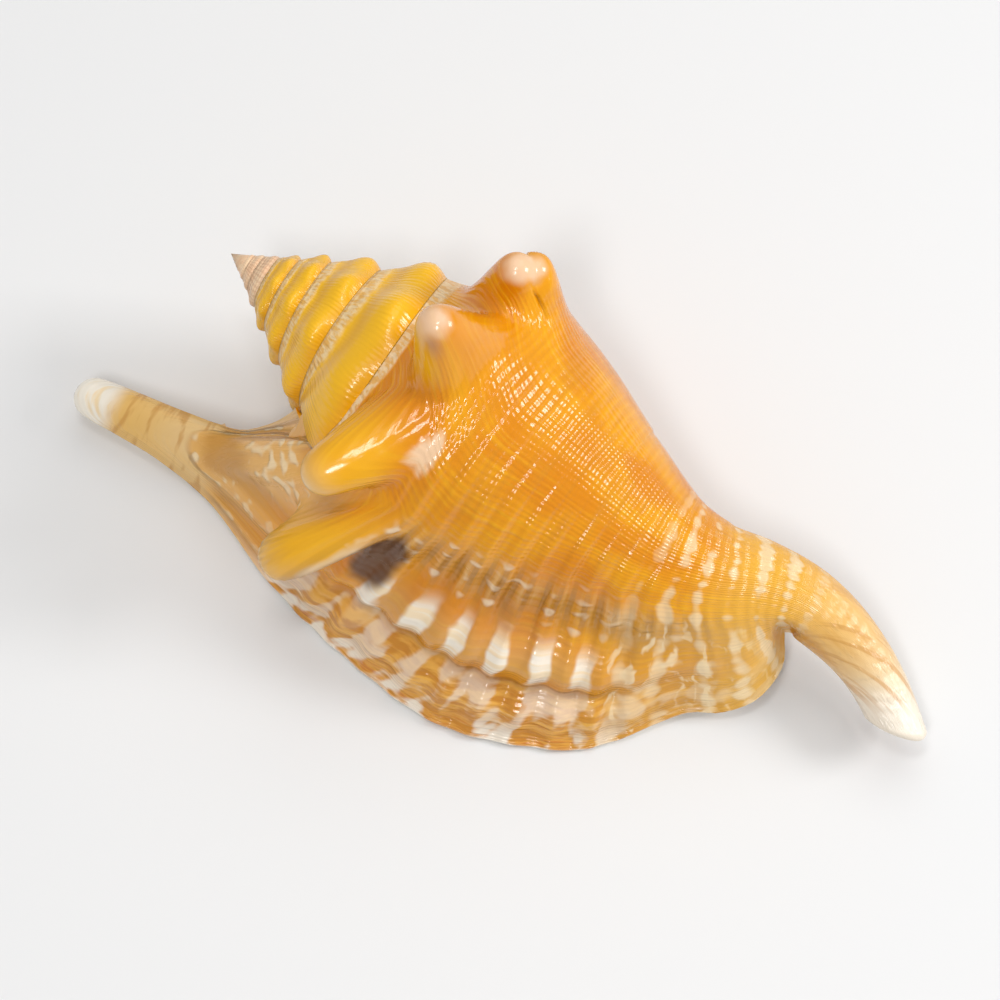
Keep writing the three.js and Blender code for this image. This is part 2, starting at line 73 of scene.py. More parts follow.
def through(rows):
    """A smooth line through rows of (x, value, value, ...)."""
    rows = np.array(rows, float)
    x, values = rows[:, 0], rows[:, 1:]
    order = np.arange(len(x))
    before, after = np.maximum(order - 1, 0), np.minimum(order + 1, len(x) - 1)
    slopes = (values[after] - values[before]) / (x[after] - x[before])[:, None]

    def line(at):
        at = np.asarray(at, float)
        i = np.clip(np.searchsorted(x, at) - 1, 0, len(x) - 2)
        width = x[i + 1] - x[i]
        a, b, c, d = (part[..., None] for part in cubic(np.clip((at - x[i]) / width, 0, 1)))
        wide = width[..., None]
        found = a * values[i] + b * wide * slopes[i] + c * values[i + 1] + d * wide * slopes[i + 1]
        return found[..., 0] if found.shape[-1] == 1 else np.moveaxis(found, -1, 0)

    return line


def unit(vectors):
    return vectors / np.maximum(np.linalg.norm(vectors, axis=-1, keepdims=True), 1e-9)


def spread_out(value):
    """Gives an array of numbers a last axis, so that it multiplies an array of points."""
    return np.asarray(value, float)[..., None]


print("a quarter of the way, an easing is at", ease(0, 1, 0.25))

# %% [markdown]
# ## The axis of growth
# The shell lies on its opening, so the axis is nearly level. The neck and the canal bend away from
# it. Sizes are in millimetres here, and become metres only in the mesh.

# %% The axis of growth
APEX = np.array([-56, 3.8, 27.0])
AXIS = unit(np.array([0.994, 0.04, -0.1]))
UP = unit(np.array([0, 0, 1.0]) - AXIS * AXIS[2])
LIPWARD = np.cross(AXIS, UP)

# The degrees of a turn, how much wider the shell is a turn later, and the whorls of the spire
TURN, GROWTH, WHORLS = 360, 1.43, 7
# The growth angles of the lip's edge and of where the sheet leaves the axis, and how far the edge
# lags at the seam
LIP, FLARE, LAG = 150, 55, 45
STEP = 0.004  # of the sheet, to measure a direction

# Along the axis: how far its middle bends away from the lip, and how far up
bend = through([
    (70, 0, 0), (82, 0.6, 0), (90, 2.8, 0), (96, 5.8, -0.3), (102, 8, -1.2),
    (108, 8.7, -2.8), (114.5, 7.9, -4.8), (120.5, 5.8, -6.4), (127, 2, -7.6), (133, -1.8, -8.4),
])


def grown(angle):
    return GROWTH ** (angle / TURN)


def centre(along):
    far, up = bend(along)
    return APEX + AXIS * spread_out(along) - LIPWARD * spread_out(far) + UP * spread_out(up)


def place(along, radius, towards):
    """A place round the axis: 0 degrees is up, and 90 is towards the lip."""
    ahead = unit(centre(along + 0.5) - centre(along - 0.5))
    side = unit(np.cross(ahead, UP))
    top = np.cross(side, ahead)
    turn = np.radians(towards)
    out = top * spread_out(np.cos(turn)) + side * spread_out(np.sin(turn))
    return centre(along) + out * spread_out(radius)


print("the canal's end is", np.round(centre(127.0), 1), "mm")

# %% [markdown]
# ## The whorls
# One outline, from seam to canal, is drawn for the top of the last whorl. Growth makes it wider
# further on. The seam climbs the whorl before as the lip forms, so it has a line of its own.

# %% The whorls
SEAM_ALONG, SEAM_RADIUS = 30.4, 17.4
SHOULDER, SHOULDER_ALONG, SHOULDER_RADIUS = 0.16, 43.5, 24
# The ramp from the seam to the shoulder: how it curves, and the station where it is over
RAMP_CURVE, RAMP_END = 1.3, 0.13
# How far the whorl draws in under the body, and how much more deep inside
DRAWN_IN, DRAWN_DEEPER = 0.42, 0.2
# The station of the notch, and the degrees that the canal's slit takes out of a turn
NOTCH, SLIT = 0.76, 64
# In millimetres: how much shorter the canal's lip side is, how much longer its roof, and how much
# all of it is cut
CANAL_SKEW, CANAL_ROOF, CANAL_CUT = 1.8, 2.2, 1.6

# Growth angle: how far the seam drifts along the axis, and out from it
seam_drift = through([
    (-500, 0, 0), (-440, 1.2, 0), (-280, 0, 0), (-80, 1.8, 0), (0, 1.8, 0.2),
    (42, 0.8, 1.6), (62, -1.1, 2.8), (74, -2.6, 1.5), (88, -6.6, -2.6), (105, -11.4, -5.8),
])
# Station: how far along the axis and out from it the top of the last whorl is
outline = through([
    (0, SEAM_ALONG, SEAM_RADIUS), (0.04, 33, 18.4), (0.1, 38.4, 21.2),
    (SHOULDER, SHOULDER_ALONG, SHOULDER_RADIUS), (0.24, 50, 23.9), (0.34, 59.5, 21),
    (0.44, 68.5, 17), (0.54, 77.5, 13), (0.62, 85, 10.4), (0.7, 92.5, 8.2),
    (0.8, 103, 6), (0.9, 115.5, 4.7), (1, 127.5, 4),
])
# Growth angle: how far along the axis the shoulder is
shoulder_along = through([
    (-420, 25.5), (-360, 28.8), (-210, 35.5), (-120, 41), (-60, 44),
    (0, SHOULDER_ALONG), (60, 42.5), (LIP, 41),
])


def seam(angle):
    along, radius = seam_drift(angle)
    return SEAM_ALONG * grown(angle) + along, SEAM_RADIUS * grown(angle) + radius


def hollow(angle, station):
    """The whorl draws in under the body, towards the column in the middle."""
    there = ease(0.25, 0.5, station) * (1 - ease(0.7, 0.86, station))
    drawn = DRAWN_IN * ease(-90, -210, angle) + DRAWN_DEEPER * ease(-210, -300, angle)
    return 1 - drawn * there


def whorl(angle, station):
    along, radius = outline(station)
    radius = radius * mix(grown(angle), 1, ease(0.35, 0.8, station)) * hollow(angle, station)
    along = along + (shoulder_along(angle) - SHOULDER_ALONG) * (1 - ease(SHOULDER, 0.5, station))
    seam_at, seam_radius = seam(angle)
    up = np.maximum(station / SHOULDER, 0)
    ramp = mix(seam_at, shoulder_along(angle), up)
    rise = mix(seam_radius, SHOULDER_RADIUS * grown(angle), up**RAMP_CURVE)
    free = ease(0, RAMP_END, station)
    return mix(ramp, along, free), mix(rise, radius, free)


def rounded(angle, station):
    """The sheet while it still winds round the axis. The canal's two edges stay apart."""
    middle = LIP - TURN / 2
    towards = middle + (angle - middle) * (1 - (SLIT / TURN) * ease(0.55, 0.82, station))
    along, radius = whorl(angle, station)
    turn = np.radians(towards)
    longer = CANAL_ROOF * np.cos(turn) - CANAL_SKEW * np.sin(turn) - CANAL_CUT
    return place(along + longer * ease(0.84, 1, station), radius, towards)


print("the shoulder is", np.round(rounded(np.array(0.0), np.array(SHOULDER)), 1), "mm")

# %% [markdown]
# ## The lip
# In the last half turn the sheet leaves the axis and spreads out. Its edge is drawn first, point by
# point, because it makes the outline that we know the shell by. Then each strip of the sheet
# goes from the whorl to that edge on a smooth way, with a fixed start and end direction.

# %% The lip
# Station: the place of the edge, and how many degrees the sheet comes down to it
lip_edge = through([
    (0, -33.7, -8.4, 21.2, 20), (0.02, -36.3, -11.6, 17, 20), (0.04, -41.2, -14.9, 12.9, 15),
    (0.06, -50, -17.2, 9.4, 10), (0.076, -58.5, -18.4, 7.6, 5), (0.088, -64.8, -19.4, 6.8, 5),
    (0.094, -67.2, -20.6, 6.4, 5), (0.1, -68.2, -22.7, 6.1, 5), (0.106, -67.9, -24.9, 5.8, 5),
    (0.113, -65.4, -26.5, 5.4, 5), (0.125, -59.2, -25.7, 4.7, 10), (0.142, -50.4, -24.5, 3.2, 30),
    (0.162, -41, -24.2, 1.9, 45), (0.2, -25.2, -28.7, 1.3, 45), (0.309, -5.7, -31.2, 1.1, 42),
    (0.411, 12, -30.5, 1.1, 38), (0.53, 29.1, -22.2, 1, 35), (0.58, 34.6, -16.4, 1.2, 35),
    (0.61, 37.6, -11.4, 2, 35), (0.64, 41.3, -5.6, 2.8, 35), (0.67, 45.6, -2.4, 3.6, 35),
    (0.7, 48.8, 2.4, 5, 35), (0.73, 49, 8.4, 7, 40), (NOTCH, 46.2, 12.4, 9.4, 45),
])
# Station: the length of the sheet's way out, how far it leans back, and its way in
spread = through([
    (0.2, 30, 0.4, 18), (0.3, 30, 0, 20), (0.5, 26, -0.2, 18), (0.6, 22, -0.4, 15),
    (0.7, 12, -0.4, 9), (1, 10, 0, 8),
])
NOTCH_FADE = 0.1  # the stations past the notch over which the free edge runs into the canal


def edge(station):
    held = np.minimum(station, NOTCH)
    point = np.moveaxis(lip_edge(held)[:3], 0, -1)
    notch = rounded(np.full_like(station, LIP), np.full_like(station, NOTCH))
    fading = 1 - ease(NOTCH, NOTCH + NOTCH_FADE, station)
    past = rounded(np.full_like(station, LIP), station) + (point - notch) * spread_out(fading)
    return np.where(spread_out(station <= NOTCH), point, past)


def way(start, leave, end, arrive, t):
    a, b, c, d = (spread_out(part) for part in cubic(t))
    return start * a + leave * b + end * c + arrive * d


def leaving(station):
    at = np.full_like(station, FLARE)
    return unit(rounded(at, station) - rounded(at - 2, station))


def lip(part, station):
    out, lean, inward = spread(station)
    leave = unit(leaving(station) - AXIS * spread_out(lean)) * spread_out(out)
    along = edge(np.minimum(1, station + STEP)) - edge(np.maximum(0, station - STEP))
    away = unit(np.stack([along[..., 1], -along[..., 0], 0 * station], -1))
    steep = np.radians(lip_edge(np.minimum(station, NOTCH))[3])
    arrive = away * spread_out(np.cos(steep)) - np.array([0, 0, 1]) * spread_out(np.sin(steep))
    start = rounded(np.full_like(station, FLARE), station)
    return way(start, leave, edge(station), arrive * spread_out(inward), part)


print("the notch is at", np.round(edge(np.array(NOTCH)), 1), "mm")

# %% [markdown]
# ## The tail
# The lip's back corner runs out into the long tail. Behind the spines the sheet draws together over
# the tail's root, and from there it is a half pipe with a round back. Its height is worked out
# from where a point lies beside the tail's middle line, so the back stays round to the tip.

# %% The tail
TAIL_ROOT, TAIL_END = np.array([-43, -19.9]), np.array([-64.4, -22.8])
TAIL_HALF_WIDTH, TAIL_RISE = 4, 4.6
# How high the tail's two sides stand at its root and at its end, and how early the back one drops
BACK_SIDE, LIP_SIDE, BACK_DROP = (14.4, 4.6), (0.6, 4), 0.8
# The part of the way that ends at the root, and how the sheet leaves: onward, and to the root
ROOT_PART, TAIL_LEAVE, TAIL_LEAN = 0.45, 12, 0.6

# Station: the place of the sheet over the tail's root
tail_root = through([
    (0, -25.5, -14.2, 29), (0.02, -31, -13.2, 22.8), (0.04, -35.8, -14.8, 18.4),
    (0.06, -40.5, -16.6, 14.6), (0.08, -42.3, -18, 13.6), (0.1, -42.6, -19.2, 13.2),
    (0.12, -42.2, -20.4, 12.4), (0.142, -40.6, -21.2, 11), (0.162, -35.4, -21.4, 10.5),
    (0.2, -22, -24.6, 11.5), (0.25, -9, -25.5, 12),
])


def tail(part, station):
    start = rounded(np.full_like(station, FLARE), station)
    root = np.moveaxis(tail_root(station), 0, -1)
    end = edge(station)
    over = (root - start) * 0.5 / ROOT_PART + (end - root) * 0.5 / (1 - ROOT_PART)
    leave = leaving(station) * TAIL_LEAVE + (root - start) * TAIL_LEAN
    rest = 1 - ROOT_PART
    near = way(start, leave, root, over * ROOT_PART, np.clip(part / ROOT_PART, 0, 1))
    far = way(root, over * rest, end, end - root, np.clip((part - ROOT_PART) / rest, 0, 1))
    return np.where(spread_out(part < ROOT_PART), near, far)


def beside_tail(point):
    """How far along the tail a point is, and how far to its side, 1 at the tail's edge."""
    line = TAIL_END - TAIL_ROOT
    length = np.linalg.norm(line)
    here = point[..., :2] - TAIL_ROOT
    along = (here @ line) / length**2
    aside = (here[..., 0] * line[1] - here[..., 1] * line[0]) / length / -TAIL_HALF_WIDTH
    return along, aside


def over_tail(point):
    along, aside = beside_tail(point)
    past = np.maximum(0, along - 1) * np.linalg.norm(TAIL_END - TAIL_ROOT) / TAIL_HALF_WIDTH
    back_side = mix(*BACK_SIDE, np.clip(along, 0, 1) ** BACK_DROP)
    side = mix(back_side, mix(*LIP_SIDE, along), np.clip((1 + aside) / 2, 0, 1))
    rise = TAIL_RISE * ease(-0.5, 0.5, along)
    back = rise * np.sqrt(np.clip(1 - aside**2 - past**2, 0, 1))
    near = ease(-0.35, 0.3, along) * (1 - ease(1, 1.8, np.abs(aside)))
    return mix(point[..., 2], side + back, near)


print("the tail is", round(float(np.linalg.norm(TAIL_END - TAIL_ROOT)), 1), "mm long")

# %% [markdown]
# ## The whole sheet
# Now the whorl, the lip and the tail become one sheet. The columns of a net need a value from 0 to
# 1 across the last turn, the share, and the edge lags behind at the seam, so share and growth
# angle are turned into each other here. Eased weights blend the three forms, because a hard switch
# would leave a crease that a grown shell doesn't have.

# %% The whole sheet
TAIL_STATIONS = (0.15, 0.25)  # where the tail gives way to the lip
SEAM_NEAR = 0.05  # the stations over which the tail's sheet is drawn to the seam
EARLY = 0.35  # how strongly the sheet goes its way early


def lag_at(station):
    return LAG * (1 - ease(0, 0.3, station))


def angle_at(share, station):
    return LIP - TURN * (1 - share) - lag_at(station)


def share_at(angle, station):
    return (angle - LIP + lag_at(station)) / TURN + 1


def out_at(share, station):
    """How far out on the lip, from the flare at 0 to the edge at 1."""
    return (angle_at(share, station) - FLARE) / (LIP - lag_at(station) - FLARE)


def sheet(share, station):
    """The middle of the sheet, without knobs, spines, folds or ribs."""
    share, station = np.broadcast_arrays(np.asarray(share, float), np.asarray(station, float))
    angle = angle_at(share, station)
    wound = rounded(angle, station)
    free = np.clip(out_at(share, station), 0, 1)
    part = mix(free, 1 - (1 - free) ** 2, EARLY)
    on_tail = tail(part, station)
    on_tail[..., 2] = over_tail(on_tail)
    point = mix(lip(part, station), on_tail, spread_out(1 - ease(*TAIL_STATIONS, station)))
    on_seam = place(*seam(angle), angle) - tail(part, 0 * station)
    point = point + on_seam * spread_out((1 - np.clip(station / SEAM_NEAR, 0, 1)) ** 2)
    point = mix(point, wound, spread_out(ease(NOTCH, NOTCH + NOTCH_FADE, station)))
    return np.where(spread_out(angle <= FLARE), wound, point)


def facing(share, station):
    """The direction that the outside faces."""
    onward = sheet(np.minimum(1, share + STEP), station)
    onward = onward - sheet(np.maximum(0, share - STEP), station)
    across = sheet(share, np.minimum(1, station + STEP))
    across = across - sheet(share, np.maximum(0, station - STEP))
    return unit(np.cross(onward, across))


print("the tail ends at", np.round(sheet(1.0, 0.1), 1), "mm")

# %% [markdown]
# ## Spines, knobs, folds and ribs
# The sheet rises in a soft mound under each spine and knob. Folds run along the lip: a valley, a
# roll, a groove and the margin. Broad ribs fan out over the lip at fixed stations.

# %% Relief that the solid has too
# Each spine: its foot's growth angle and station, half the foot's size in both, and the place and
# radius of each round tip
SPINES = [
    (-48, 0.145, 24, 0.1, [(-13.4, 20.9, 49.6, 3.1), (-11.7, 23.2, 47.9, 2.8)]),
    (-2, 0.135, 22, 0.075, [(-15.4, 3.9, 58.4, 3.4)]),
    (38, 0.125, 19, 0.085, [(-18.8, -22.1, 40, 3.7)]),
    (66, 0.205, 10, 0.045, [(-20.9, -31.6, 23.1, 3.9)]),
]
# Each knob: its growth angle, and its height
KNOBS = [(-240, 2.2), (-198, 3), (-153, 5.8), (-106, 5.4)]
MOUND_HEIGHT, MOUND_WIDTH = 2.4, 12
# A low knob's width, how much wider a high one is, and how far they lean towards the apex
KNOB_WIDTH, KNOB_SPREAD, KNOB_LEAN = 8.5, 0.6, 6
RIBS, RIB_FROM, RIB_TO, RIB_HEIGHT, RIB_AT_MARGIN = 11, 0.2, 0.64, 0.5, 0.4
RIB_STEP = (RIB_TO - RIB_FROM) / RIBS

# How far out on the lip: the height of the fold
folds = through([
    (0, 0), (0.1, -0.5), (0.24, -1.9), (0.42, 1.7), (0.55, -1), (0.68, 0.7), (0.85, -0.3), (1, 0),
])


def find_mounds():
    found = []
    for angle, station, *_ in SPINES:
        share = share_at(angle, station)
        rise = facing(share, station) * MOUND_HEIGHT
        found.append((sheet(share, station), MOUND_WIDTH, rise))
    for angle, height in KNOBS:
        foot = rounded(np.array(angle), np.array(SHOULDER))
        out = foot - centre(whorl(np.array(angle), np.array(SHOULDER))[0]) - AXIS * KNOB_LEAN
        found.append((foot, KNOB_WIDTH + height * KNOB_SPREAD, unit(out) * height))
    return found


MOUNDS = find_mounds()


def mound(point):
    moved = np.zeros_like(point)
    for foot, width, rise in MOUNDS:
        away = np.clip(np.linalg.norm(point - foot, axis=-1) / width, 0, 1)
        moved += rise * spread_out((1 - away**2) ** 2)
    return moved


def fold(share, station):
    on_lip = ease(0.14, 0.28, station) * (1 - ease(0.5, 0.7, station))
    return on_lip * folds(np.clip(out_at(share, station), 0, 1))


def rib(share, station):
    ends = ease(0.19, 0.24, station) * (1 - ease(0.58, 0.64, station))
    margin = mix(1, RIB_AT_MARGIN, ease(0.75, 1, out_at(share, station)))
    ribbed = ends * margin * ease(-20, 100, angle_at(share, station))
    phase = (station - RIB_FROM) / (RIB_TO - RIB_FROM) * RIBS
    return RIB_HEIGHT * ribbed * np.cos(2 * np.pi * phase)


print(len(MOUNDS), "mounds, the highest", max(abs(m[2][2]) for m in MOUNDS).round(1), "mm up")

# %% [markdown]
# ## The two sides of the wall
# The wall has a thickness, and it thins to nothing in a round bead along every free edge: the lip,
# the canal's end, and the canal's near side, where the sheet starts again.

# %% The wall
# In millimetres: the wall, the thin wall of the canal and the tail's rim, and what the tail's root
# has more
WALL, THIN_WALL, THICKER = 2.3, 1.5, 0.8
BEAD = 0.007  # the part of the sheet that rounds off at a free edge


def in_canal(station):
    return ease(0.66, 0.8, station)


def bead(share, station):
    """1 in the open wall, and falls to 0 at a free edge like the height of a round bead."""
    over = np.clip((share - (1 - BEAD)) / BEAD, 0, 1) ** 2
    over = over + np.clip((station - (1 - BEAD)) / BEAD, 0, 1) ** 2
    over = over + np.clip((BEAD - share) / BEAD, 0, 1) ** 2 * in_canal(station)
    return np.sqrt(np.clip(1 - over, 0, 1))


def wall_at(share, station):
    tail_rim = (1 - ease(0.1, 0.2, station)) * ease(0.92, 0.98, share)
    thin = np.maximum(tail_rim, ease(0.6, 0.75, station))
    thick = (1 - ease(0.12, 0.24, station)) * (1 - ease(0.9, 0.96, share))
    return mix(WALL, THIN_WALL, thin) + THICKER * thick


def outside(share, station):
    point = sheet(share, station)
    share, station = np.broadcast_arrays(share, station)
    round_edge = bead(share, station)
    relief = fold(share, station) + rib(share, station) * round_edge
    sunk = wall_at(share, station) / 2 * (1 - round_edge)
    return point + facing(share, station) * spread_out(relief - sunk) + mound(point)


def inside(share, station):
    share, station = np.broadcast_arrays(share, station)
    down = wall_at(share, station) / 2 * (1 + bead(share, station))
    across = fold(share, station) - down
    return sheet(share, station) + facing(share, station) * spread_out(across)


print("the wall is", WALL, "mm, and", THIN_WALL, "mm in the canal")

# %% [markdown]
# ## The spines
# A spine is drawn out of the sheet, so it is the same skin and not a cone that is stuck on. Its
# tip is round, and one has two tips side by side, so a tip is made as the highest of one or two
# balls, and smooth sides run from the foot's outline up into it.

# %% The spines
# The angle over a ball where the sides run into it, and how far up the spine that is
CAP_FROM, CAP_PART = math.radians(28), 0.62
NECK_LEAST = 0.86  # of the smallest ball's radius
# Small steps in from the foot and over the ball, which give the directions there
FOOT_STEP, CAP_STEP = 0.03, 0.05
# How the sides leave the foot: towards the middle, and up, and how they run into the tip
LEAN_IN, LEAN_UP, RUN_IN = 0.7, 0.3, 0.6


def dome(off, over, width, balls, axis):
    """A point of a spine's round tip: its place over the neck, on the highest of its balls."""
    flat = off * spread_out(width * np.cos(over))
    beside = balls["at"] - axis * spread_out(balls["at"] @ axis)
    away = ((flat[:, None] - beside) ** 2).sum(2)
    high = np.sqrt(np.maximum(balls["radius"] ** 2 - away, 0)) + balls["at"] @ axis
    return flat + axis * spread_out(high.max(1))


def rise_into_spines(point, share, station):
    """Draws the sheet out into the spines, and says how far up a spine each point is."""
    angle = angle_at(share, station)
    height = np.zeros(point.shape[:-1])
    for turn_at, row_at, half_turn, half_row, tips in SPINES:
        a, b = (angle - turn_at) / half_turn, (station - row_at) / half_row
        near = np.hypot(a, b) < 1
        up, towards = 1 - np.hypot(a, b)[near], np.arctan2(b, a)[near]

        def on_foot(reach):
            at = row_at + half_row * reach * np.sin(towards)
            turned = turn_at + half_turn * reach * np.cos(towards)
            return outside(share_at(turned, at), at)

        tips = np.array(tips)
        base, foot = on_foot(1), outside(share_at(turn_at, row_at), row_at)
        axis = unit(tips[:, :3].mean(0) - foot)
        centres = tips[:, :3] - axis * tips[:, 3:]
        neck = centres.mean(0)
        balls = {"at": centres - neck, "radius": tips[:, 3]}
        side = unit(np.cross(axis, outside(share_at(turn_at + 1, row_at), row_at) - foot))
        ahead = np.cross(side, axis)
        off = ahead * spread_out(np.cos(towards)) + side * spread_out(np.sin(towards))
        beside = balls["at"] - axis * spread_out(balls["at"] @ axis)
        reach = off @ beside.T
        chord = np.sqrt(np.maximum(tips[:, 3] ** 2 - (beside**2).sum(1) + reach**2, 0))
        width = np.maximum((reach + chord).max(1), NECK_LEAST * tips[:, 3].min())
        over = mix(CAP_FROM, np.pi / 2, np.clip((up - CAP_PART) / (1 - CAP_PART), 0, 1))
        cap = neck + dome(off, over, width, balls, axis)
        start_cap = dome(off, CAP_FROM + 0 * over, width, balls, axis)
        rise = tips[:, :3].mean(0) - foot
        high = np.linalg.norm(rise)
        next_cap = dome(off, CAP_FROM + CAP_STEP + 0 * over, width, balls, axis)
        arrive = unit(next_cap - start_cap) * RUN_IN * high
        leave = (on_foot(1 - FOOT_STEP) - base) / FOOT_STEP * LEAN_IN + rise * LEAN_UP
        sides = way(base, leave, neck + start_cap, arrive, np.clip(up / CAP_PART, 0, 1))
        point[near] = np.where(spread_out(up > CAP_PART), cap, sides)
        height[near] = up
    return point, height


print("the first spine's tips are", SPINES[0][4])

# %% [markdown]
# ## The spire
# Seven whorls run up to the apex, each a smaller copy of the one below, with low knobs. Under its
# seam a whorl has a narrow collar and a shallow channel, and then it climbs to a shoulder. A plain
# cone would lose these steps, so a curve says how far the whorl has climbed on its way from one
# seam to the next. Both whorls use the same row of points at the seam where they meet.

# %% The spire
KNOB_ANGLE, KNOB_HEIGHT, KNOB_MEAN, KNOB_SKEW = 46, 0.9, 0.8, 1.3
SEAM_STATION = 0.03  # where the finished lip is fixed, on the whorl before

# The part of the way from one seam to the next: the part of the climb
climb = through([(0, 0), (0.14, 0.2), (0.32, 0.38), (0.52, 0.74), (0.7, 0.95), (0.86, 1), (1, 1)])


def spire(angle, across):
    from_along, from_radius = seam(angle)
    to_along, to_radius = seam(angle + TURN)
    along = mix(from_along, to_along, across)
    radius = mix(from_radius, to_radius, climb(across))
    wave = KNOB_MEAN + np.cos(np.radians(angle / KNOB_ANGLE * TURN))
    knob = wave * np.sin(np.pi * across**KNOB_SKEW)
    radius = radius + KNOB_HEIGHT * grown(angle + TURN) * knob * ease(-2200, -1300, angle)
    first = angle_at(0, 0)
    near = ease(first - 90, first, angle)
    last_along, last_radius = whorl(angle, across * SEAM_STATION)
    return place(mix(along, last_along, near), mix(radius, last_radius, near), angle)


print("the apex's seam is", round(float(seam(-TURN * WHORLS)[1]), 1), "mm from the axis")

# %% [markdown]
# ## The net of points
# The net's columns follow each other round the shell, and its rows follow each other across the
# sheet. An even net would need far more points, so rows stand closest where the tail's tip turns,
# and near free edges they follow the round bead. In the spire the last row stands very close to
# the seam, so that the colours of two whorls change there in a thin line.

# %% The net
COLUMNS = 262
SEAM_ROWS = 12
LAST_STEP = 0.985  # of the way to the seam
SEAM_STEPS = np.append(np.linspace(0, LAST_STEP, SEAM_ROWS), 1)
TAIL_ROWS = 58
RIB_ROWS = 110
CANAL_ROWS = 44
LAYERS = 26
BEAD_STEPS = 5
DEPTH = 210  # degrees that the opening reaches back
CROWDING, TIP_CROWDING = 0.15, 1.5

bead_steps = BEAD * (1 - np.sin(np.linspace(0, np.pi / 2, BEAD_STEPS + 1)))


def net_rows():
    from_tip = np.linspace(-1, 1, TAIL_ROWS + 1)
    tail_rows = RIB_FROM / 2 * (1 + np.sign(from_tip) * np.abs(from_tip) ** TIP_CROWDING)
    rib_rows = np.linspace(RIB_FROM, RIB_TO, RIB_ROWS + 1)[1:]
    canal_rows = np.linspace(RIB_TO, 1 - BEAD, CANAL_ROWS + 1)[1:-1]
    return np.concatenate([tail_rows, rib_rows, canal_rows, 1 - bead_steps])


def net_columns():
    even = np.linspace(0, 1, COLUMNS + 1)
    crowded = even * (1 + CROWDING * (1 - even))
    main = mix(BEAD, 1 - BEAD, crowded)[1:-1]
    return np.concatenate([bead_steps[::-1], main, 1 - bead_steps])


rows, shares = net_rows(), net_columns()
later = mix(SEAM_STATION, 1, (rows - rows[SEAM_ROWS]) / (1 - rows[SEAM_ROWS]))
met = np.concatenate([SEAM_STEPS * SEAM_STATION, later[SEAM_ROWS + 1:]])
stations = mix(met[None], rows[None], ease(0, 0.25, shares)[:, None])
share_net = np.broadcast_to(shares[:, None], stations.shape)
print(stations.shape[0], "columns and", stations.shape[1], "rows in the last whorl")

# %% [markdown]
# ## Points on the net
# The last whorl is worked out first, with its spines, and then each whorl of the spire. The lower
# half of each is drawn over to the whorl below, so that they meet without a step.

# %% Points on the net
body = outside(share_net, stations)
body, spine_height = rise_into_spines(body, share_net, stations)
seam_angles = angle_at(shares, 0)
body[:, 0] = place(*seam(seam_angles), seam_angles)

wound = []
for n in range(WHORLS):
    angles, steps = np.meshgrid(seam_angles - TURN * (n + 1), SEAM_STEPS, indexing="ij")
    whorl_net = spire(angles, steps)
    lower_net = body if n == 0 else wound[n - 1]
    apart = lower_net[:, 0] - whorl_net[:, -1]
    whorl_net = whorl_net + apart[:, None] * ease(0.5, 1, SEAM_STEPS)[None, :, None]
    whorl_net[-1] = body[0, :SEAM_ROWS + 1] if n == 0 else wound[n - 1][0]
    whorl_net[:, -1] = lower_net[:, 0]
    wound.append(whorl_net)
body[-1, 0] = body[0, SEAM_ROWS]
print("the highest point is", round(float(body[..., 2].max()), 1), "mm up")

# %% [markdown]
# ## The opening
# From the lip, the inside of the last whorl winds back into the shell. Facing it is the whorl
# before, which a real shell covers with a smooth glaze. The two sides meet far inside.

# %% The opening
LAYER_CROWDING, FIRST_LAYER = 1.2, 0.015
# How far back the canal is lined on its two sides, as a share of the last turn
CANAL_BACK, CANAL_INWARD = 0.61, 0.55
SEAM_SLIP = 0.16  # how far the lining moves across the sheet on its way in

even_layers = np.linspace(0, 1, LAYERS + 1)[1:] ** LAYER_CROWDING
layer_shares = np.concatenate([
    (bead_steps[::-1] / CANAL_INWARD)[1:-1], even_layers * (1 - FIRST_LAYER) + FIRST_LAYER,
])


def outer_lining(layer):
    depth = layer_shares[layer - 1]
    back = mix(1 - DEPTH / TURN, CANAL_BACK, in_canal(rows))
    return inside(mix(1, back, depth), rows)


def inner_lining(layer):
    at = stations[0, SEAM_ROWS:]
    depth = layer_shares[layer - 1]
    back = DEPTH * depth
    slip = SEAM_SLIP * ease(0, DEPTH / 2, back) * (1 - at) / (1 - SEAM_STATION)
    behind = rounded(angle_at(0, at) - back, mix(at, 1, slip))
    return mix(behind, inside(CANAL_INWARD * depth, at), spread_out(in_canal(at)))


outer, inner = [body[-1]], [body[0, SEAM_ROWS:]]
for layer in range(1, len(layer_shares) + 1):
    inner.append(inner_lining(layer))
    corner = inner[-1][0]
    near = spread_out(ease(0, 0.05, rows))
    outer.append(mix(corner, outer_lining(layer), near))
outer, inner = np.array(outer), np.array(inner)
print(len(layer_shares), "layers wind", DEPTH, "degrees back into the opening")

# %% [markdown]
# ## One skin
# The nets become one mesh. Each point also carries labels that the material reads later: how far
# it has grown, its station, how far below the seam it is, how far up a spine, out on the lip, along
# the tail or inside the shell. An unwrapped picture would need seams of its own, and these labels
# need none.

# %% One skin
LABELS = ["growth", "station", "below_seam", "spine", "lip", "tail", "inside"]


